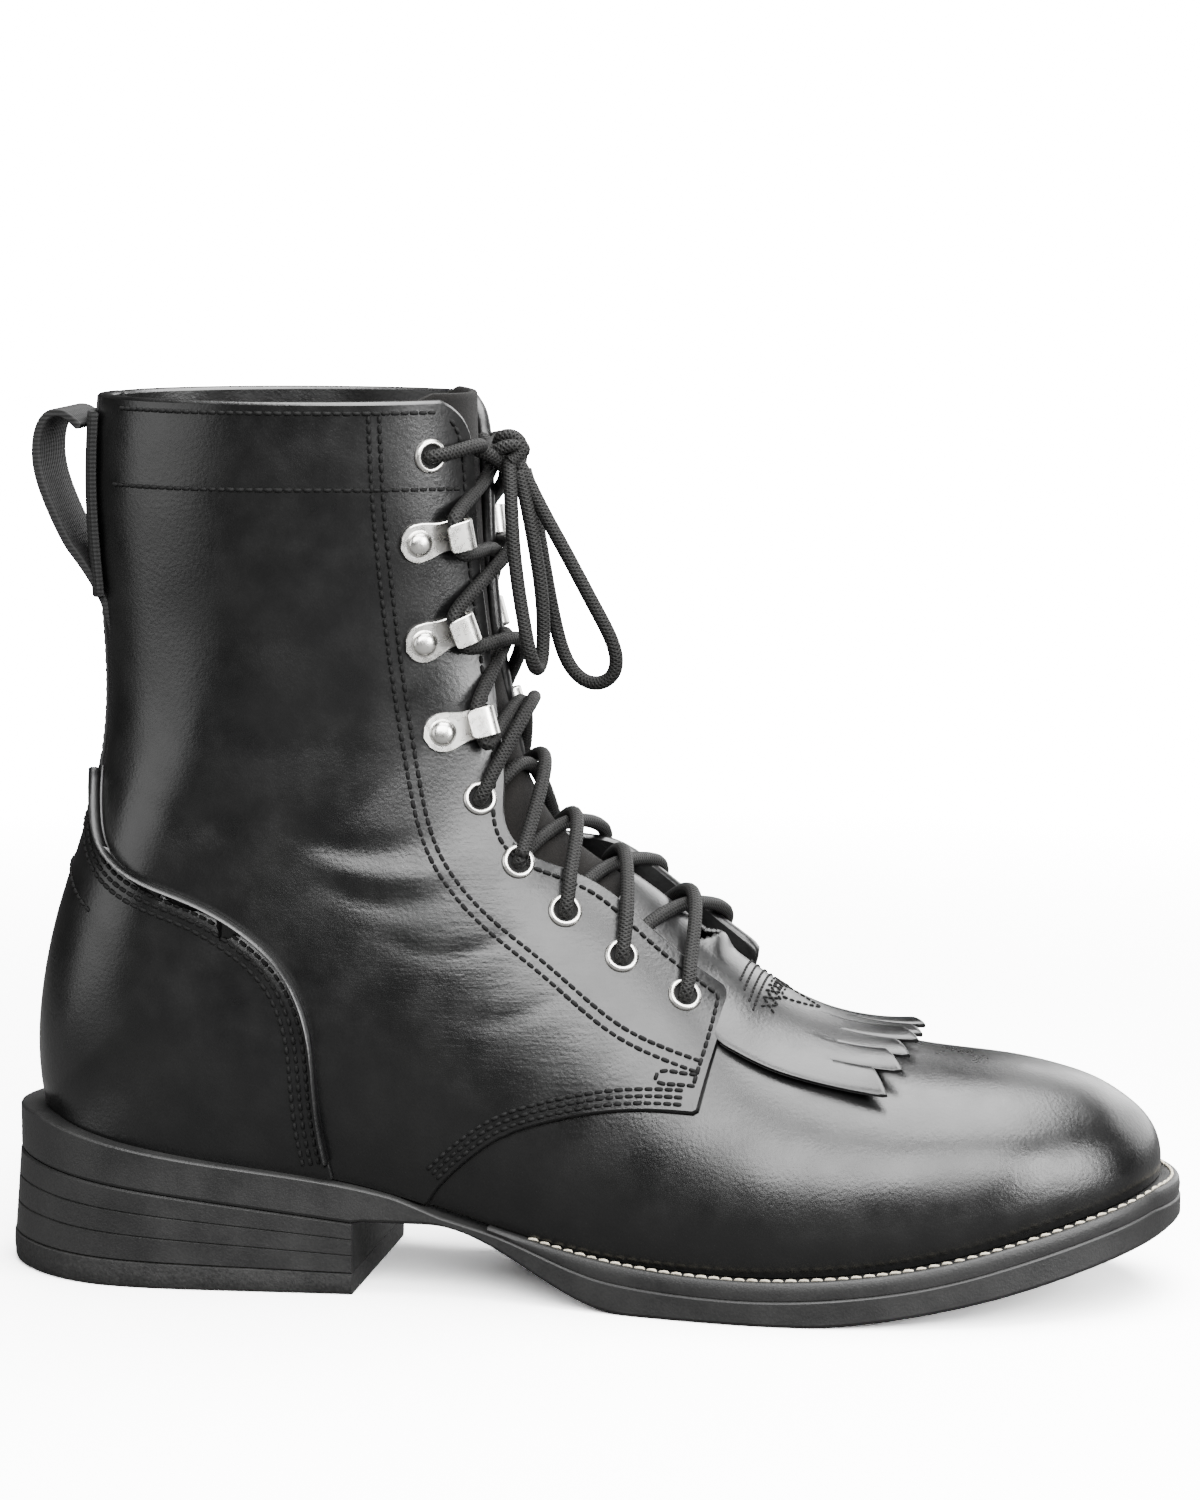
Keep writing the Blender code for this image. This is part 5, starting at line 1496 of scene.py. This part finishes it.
def speckled_finish(name, grain, cloud, dark, light, rough, depth, gloss, sheen=0.0):
    material, tree, shader, place = finish_base(name, rough, gloss=gloss)
    spots = placed_group(tree, SPECKLE, place, Grain=grain, Cloud=cloud)
    mix = plus(tree, times(tree, spots["Fine"], 0.5), times(tree, spots["Cloudy"], 0.5))
    shaded(tree, shader, mix, 0.38, 0.64, dark, light)
    uneven = mapped(tree, spots["Cloudy"], 0.3, 0.7, rough - 0.06, rough + 0.06)
    tree.links.new(uneven, shader.inputs["Roughness"])
    shader.inputs["Sheen Weight"].default_value = sheen
    bumped(tree, shader, spots["Fine"], strength=0.5, distance=depth)
    return material


RIB_PITCH = 0.0016
WEAVE_PITCH = 0.0011


def webbing_finish():
    """Ribs along the strap with a fine cross weave; the colour follows the rib height, with painted shade in
    the grooves.
    """
    material, tree, shader, place = finish_base("ribbed_webbing", 0.78, gloss=0.3)
    parts = shade_node(tree, "ShaderNodeSeparateXYZ", {0: place})
    rib, weave = (math_node(tree, "SINE", times(tree, parts[axis], 2.0 * math.pi / pitch))
                  for axis, pitch in (("Y", RIB_PITCH), ("Z", WEAVE_PITCH)))
    height = plus(tree, times(tree, rib, 0.35), times(tree, weave, 0.12))
    # Colour darker in the rib and weave grooves: painted shade.
    shaded(tree, shader, plus(tree, height, 0.5), 0.1, 0.95, (0.003, 0.003, 0.003), (0.014, 0.014, 0.014))
    bumped(tree, shader, height, strength=0.8, distance=0.0005)
    return material


def cord_finish():
    """Braid of two crossing sets of yarns by the cord's own map, with light flecks; the gaps between the
    yarns are painted darker as painted shade.
    """
    material, tree, shader, place = finish_base("braided_cord", 0.66, gloss=0.22)
    cord_map = shade_node(tree, "ShaderNodeUVMap", {}, uv_map="cord_map")["UV"]
    parts = shade_node(tree, "ShaderNodeSeparateXYZ", {0: cord_map})
    around, along = times(tree, parts["X"], 6.0 * math.pi), times(tree, parts["Y"], 11.0 * math.pi)
    yarns = [math_node(tree, "ABSOLUTE", math_node(tree, "SINE", math_node(tree, turn, around, along)))
             for turn in ("ADD", "SUBTRACT")]
    braid = math_node(tree, "MAXIMUM", *yarns)
    fleck = mapped(tree, noise(tree, place, 2300.0, 1.0, 0.5), 0.58, 0.7, 0.0, 1.0)
    # The braid's height darkens the colour between the yarns, which is painted shade; the flecks are the
    # cord's own.
    tone = plus(tree, times(tree, braid, 0.45), times(tree, fleck, 0.5))
    shaded(tree, shader, tone, 0.2, 1.0, (0.0005, 0.0005, 0.0005), (0.016, 0.0155, 0.0145))
    bumped(tree, shader, braid, strength=0.9, distance=0.0005)
    return material


def metal_finish():
    material, tree, shader, place = finish_base("satin_nickel", 0.26, metal=1.0)
    spots = placed_group(tree, SPECKLE, place, Grain=420.0, Cloud=160.0)
    shaded(tree, shader, spots["Cloudy"], 0.3, 0.7, (0.62, 0.61, 0.58), (0.74, 0.73, 0.70))
    tree.links.new(mapped(tree, spots["Fine"], 0.3, 0.7, 0.24, 0.34), shader.inputs["Roughness"])
    bumped(tree, shader, spots["Fine"], strength=0.05, distance=0.00005)
    return material


def dress(item, material, slot_name, *nodes):
    item.data.materials.clear()
    item.data.materials.append(material)
    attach(item, "root")
    if nodes:
        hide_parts(*nodes)
    return item


# Camera, floor and light

CAMERA_AIM = (3.4, -9.0, 140.5)
CAMERA_YAW = 9.6
CAMERA_RISE = 7.9
CAMERA_AWAY = 1167.6
CAMERA_LENS = 107.6


def make_camera():
    yaw, rise = math.radians(CAMERA_YAW), math.radians(CAMERA_RISE)
    back = Vector((math.sin(yaw) * math.cos(rise), -math.cos(yaw) * math.cos(rise), math.sin(rise)))
    data = bpy.data.cameras.new("camera")
    data.lens = CAMERA_LENS
    data.sensor_width = 36.0
    data.clip_start = 0.01
    camera = linked("camera", data)
    camera.location = Vector(to_frame(CAMERA_AIM)) + back * CAMERA_AWAY * MM
    camera.rotation_euler = (-back).to_track_quat("-Z", "Y").to_euler()
    bpy.context.scene.camera = camera


FLOOR_SEEN = 2.0
FLOOR_BOUNCE = 0.085
FLOOR_REACH = 4000.0


def floor_finish():
    """Pale floor that fades into the pale surroundings away from the boot."""
    material, tree, shader, place = finish_base("pale_floor", 0.8, gloss=0.0)
    seen = shade_node(tree, "ShaderNodeLightPath", {})["Is Camera Ray"]
    tone = plus(tree, times(tree, seen, FLOOR_SEEN - FLOOR_BOUNCE), FLOOR_BOUNCE)
    tree.links.new(tone, shader.inputs["Base Color"])
    reach = shade_node(tree, "ShaderNodeVectorMath", {0: place}, operation="LENGTH")["Value"]
    fade = mapped(tree, reach, 0.35, 1.3, 0.0, 1.0)
    clear = shade_node(tree, "ShaderNodeBsdfTransparent", {})[0]
    mix = shade_node(tree, "ShaderNodeMixShader", {0: fade, 1: shader.outputs[0], 2: clear})[0]
    tree.links.new(mix, tree.nodes["Material Output"].inputs["Surface"])
    return material


def make_floor():
    corners = ((-1.0, -1.0, 0.0), (1.0, -1.0, 0.0), (1.0, 1.0, 0.0), (-1.0, 1.0, 0.0))
    floor = new_piece("floor", FLOOR_REACH * np.array(corners), [(0, 1, 2, 3)])
    floor.data.materials.append(floor_finish())


def softbox(name, place, aim, size, power):
    data = bpy.data.lights.new(name, "AREA")
    data.shape = "RECTANGLE"
    data.size, data.size_y = size
    data.energy = power
    lamp = linked(name, data)
    lamp.location = place
    lamp.rotation_euler = (Vector(aim) - Vector(place)).to_track_quat("-Z", "Y").to_euler()


# Softboxes: place, aim, size in metres, power in watts
SOFTBOXES = (
    ("overhead_softbox", (0.25, 0.1, 1.6), (0.0, 0.0, 0.0), (1.7, 1.3), 130.0),
    ("front_softbox", (0.35, -1.2, 0.98), (0.05, 0.0, 0.06), (1.5, 0.9), 76.0),
    ("left_softbox", (-1.2, -0.6, 0.45), (0.0, 0.0, 0.12), (1.1, 1.1), 10.0),
    ("right_softbox", (1.3, -0.7, 0.5), (0.1, 0.0, 0.05), (0.6, 0.8), 42.0),
    ("back_softbox", (0.85, 1.3, 0.55), (0.1, 0.0, 0.08), (1.6, 0.9), 30.0),
)
SURROUND_SEEN = 24.0
SURROUND_LIGHT = 0.06


def make_light():
    """Pale surroundings that light the boot only a little, boxes overhead, in front, beside and behind."""
    world = bpy.data.worlds.new("studio")
    world.use_nodes = True
    tree = world.node_tree
    sky = tree.nodes["Background"]
    sky.inputs["Color"].default_value = (1.0, 1.0, 1.0, 1.0)
    seen = shade_node(tree, "ShaderNodeLightPath", {})["Is Camera Ray"]
    share = times(tree, seen, SURROUND_SEEN - SURROUND_LIGHT)
    tree.links.new(plus(tree, share, SURROUND_LIGHT), sky.inputs["Strength"])
    bpy.context.scene.world = world
    for row in SOFTBOXES:
        softbox(*row)


make_camera()
make_floor()
make_light()

COPIES, COPY_KEYS = copies_tree()
GRAIN = grain_group()
SPECKLE = speckle_group()
LEATHER = leather_finish("black_leather", 0.6, (0.0009, 0.0009, 0.001), (0.0019, 0.0019, 0.0018), 0.315)
WEBBING = webbing_finish()
CORD = cord_finish()
NICKEL = metal_finish()

# Speckled finishes: name, grain, cloud, dark and light colour, roughness, depth, gloss, sheen
SUEDE, RUBBER, TREAD, BOARD, THREAD, WELT_THREAD, HOLE_SHADE = (speckled_finish(*row) for row in (
    ("dark_suede", 2200.0, 45.0, (0.0022, 0.002, 0.0019), (0.008, 0.0073, 0.0067), 0.92, 0.0006, 0.1, 0.03),
    ("sole_rubber", 1500.0, 60.0, (0.004, 0.004, 0.0041), (0.010, 0.0099, 0.0097), 0.5, 0.0002, 0.4),
    ("tread_rubber", 1100.0, 50.0, (0.004, 0.004, 0.004), (0.02, 0.0197, 0.0193), 0.68, 0.0006, 0.3),
    ("insole_cloth", 1700.0, 30.0, (0.012, 0.010, 0.008), (0.04, 0.033, 0.027), 0.9, 0.0003, 0.2),
    ("black_thread", 3000.0, 300.0, (0.0006, 0.0006, 0.0006), (0.003, 0.003, 0.003), 0.8, 0.0001, 0.2),
    ("pale_thread", 3000.0, 300.0, (0.30, 0.27, 0.21), (0.52, 0.48, 0.39), 0.75, 0.0001, 0.3),
    # eyelet_painted_shade: painted shade inside the eyelet holes
    ("eyelet_painted_shade", 1500.0, 60.0, (0.001, 0.001, 0.001), (0.0025, 0.0025, 0.0025), 0.8, 0.0002, 0.2),
))

knot = dress(make_knot(), CORD, "cord", "lace_knot")
for loop_name, node, route, extras in (("bow_loop_side", "lace_loop_side", LOOP_SIDE, [knot]),
                                       ("bow_loop_front", "lace_loop_front", LOOP_FRONT, [])):
    loop, loop_path = make_loop(loop_name, route)
    dress(loop, CORD, "cord", node)
dress(make_laces(), CORD, "cord", *(f"lace_crossing_{number}" for number in range(1, 9)))

dress(make_vamp(), LEATHER, "leather", "upper")
dress(make_quarter("quarter_outer", -1.0), LEATHER, "leather", "quarter_lateral")
dress(make_quarter("quarter_inner", 1.0), LEATHER, "leather", "quarter_medial")
dress(make_counter(), LEATHER, "leather", "counter")
dress(make_back_strip(), LEATHER, "leather", "back_strip")
dress(make_lining(), SUEDE, "suede")
dress(make_tongue(), SUEDE, "suede", "tongue")
dress(make_kiltie(), LEATHER, "leather", "kiltie")
dress(make_pull_loop(), WEBBING, "webbing", "pull_loop")
dress(make_outsole(), RUBBER, "rubber", "outsole")
dress(make_welt(), RUBBER, "rubber", "welt")
heel_layers, heel_tread = make_heel()
dress(heel_layers, RUBBER, "rubber", "heel_stack")
dress(heel_tread, TREAD, "rubber", "heel_top_lift")
dress(make_insole(), BOARD, "insole", "insole")

eyelet, hole, hook = eyelet_shape(), hole_shape(), hook_shape()
long_thread, short_thread, welt_thread = (
    thread_shape(length, radius) for length, radius in ((2.35, 0.54), (1.7, 0.34), (2.9, 0.42)))
dress(copies("eyelet_rings", eyelet, metal_places(EYELETS), NICKEL), NICKEL, "nickel",
      *(f"eyelet_{side}_{number}" for side in SIDES for number in range(1, 7)))
# Dark plugs in the eyelets: painted shade of the holes.
dress(copies("eyelet_holes", hole, metal_places(EYELETS), HOLE_SHADE), HOLE_SHADE, "leather")
dress(copies("speed_hooks", hook, metal_places(HOOKS), NICKEL), NICKEL, "nickel",
      *(f"hook_{side}_{number}" for side in SIDES for number in range(1, 4)))
dress(copies("upper_stitches", long_thread, upper_stitches(), THREAD, unevenness=0.08), THREAD, "cord")
dress(copies("kiltie_stitches", short_thread, kiltie_stitches(), THREAD, unevenness=0.06), THREAD, "cord")
dress(copies("welt_stitches", welt_thread, welt_stitches(), WELT_THREAD, unevenness=0.06), WELT_THREAD,
      "cord")
for shape in (eyelet, hole, hook, long_thread, short_thread, welt_thread):
    bpy.data.objects.remove(shape)
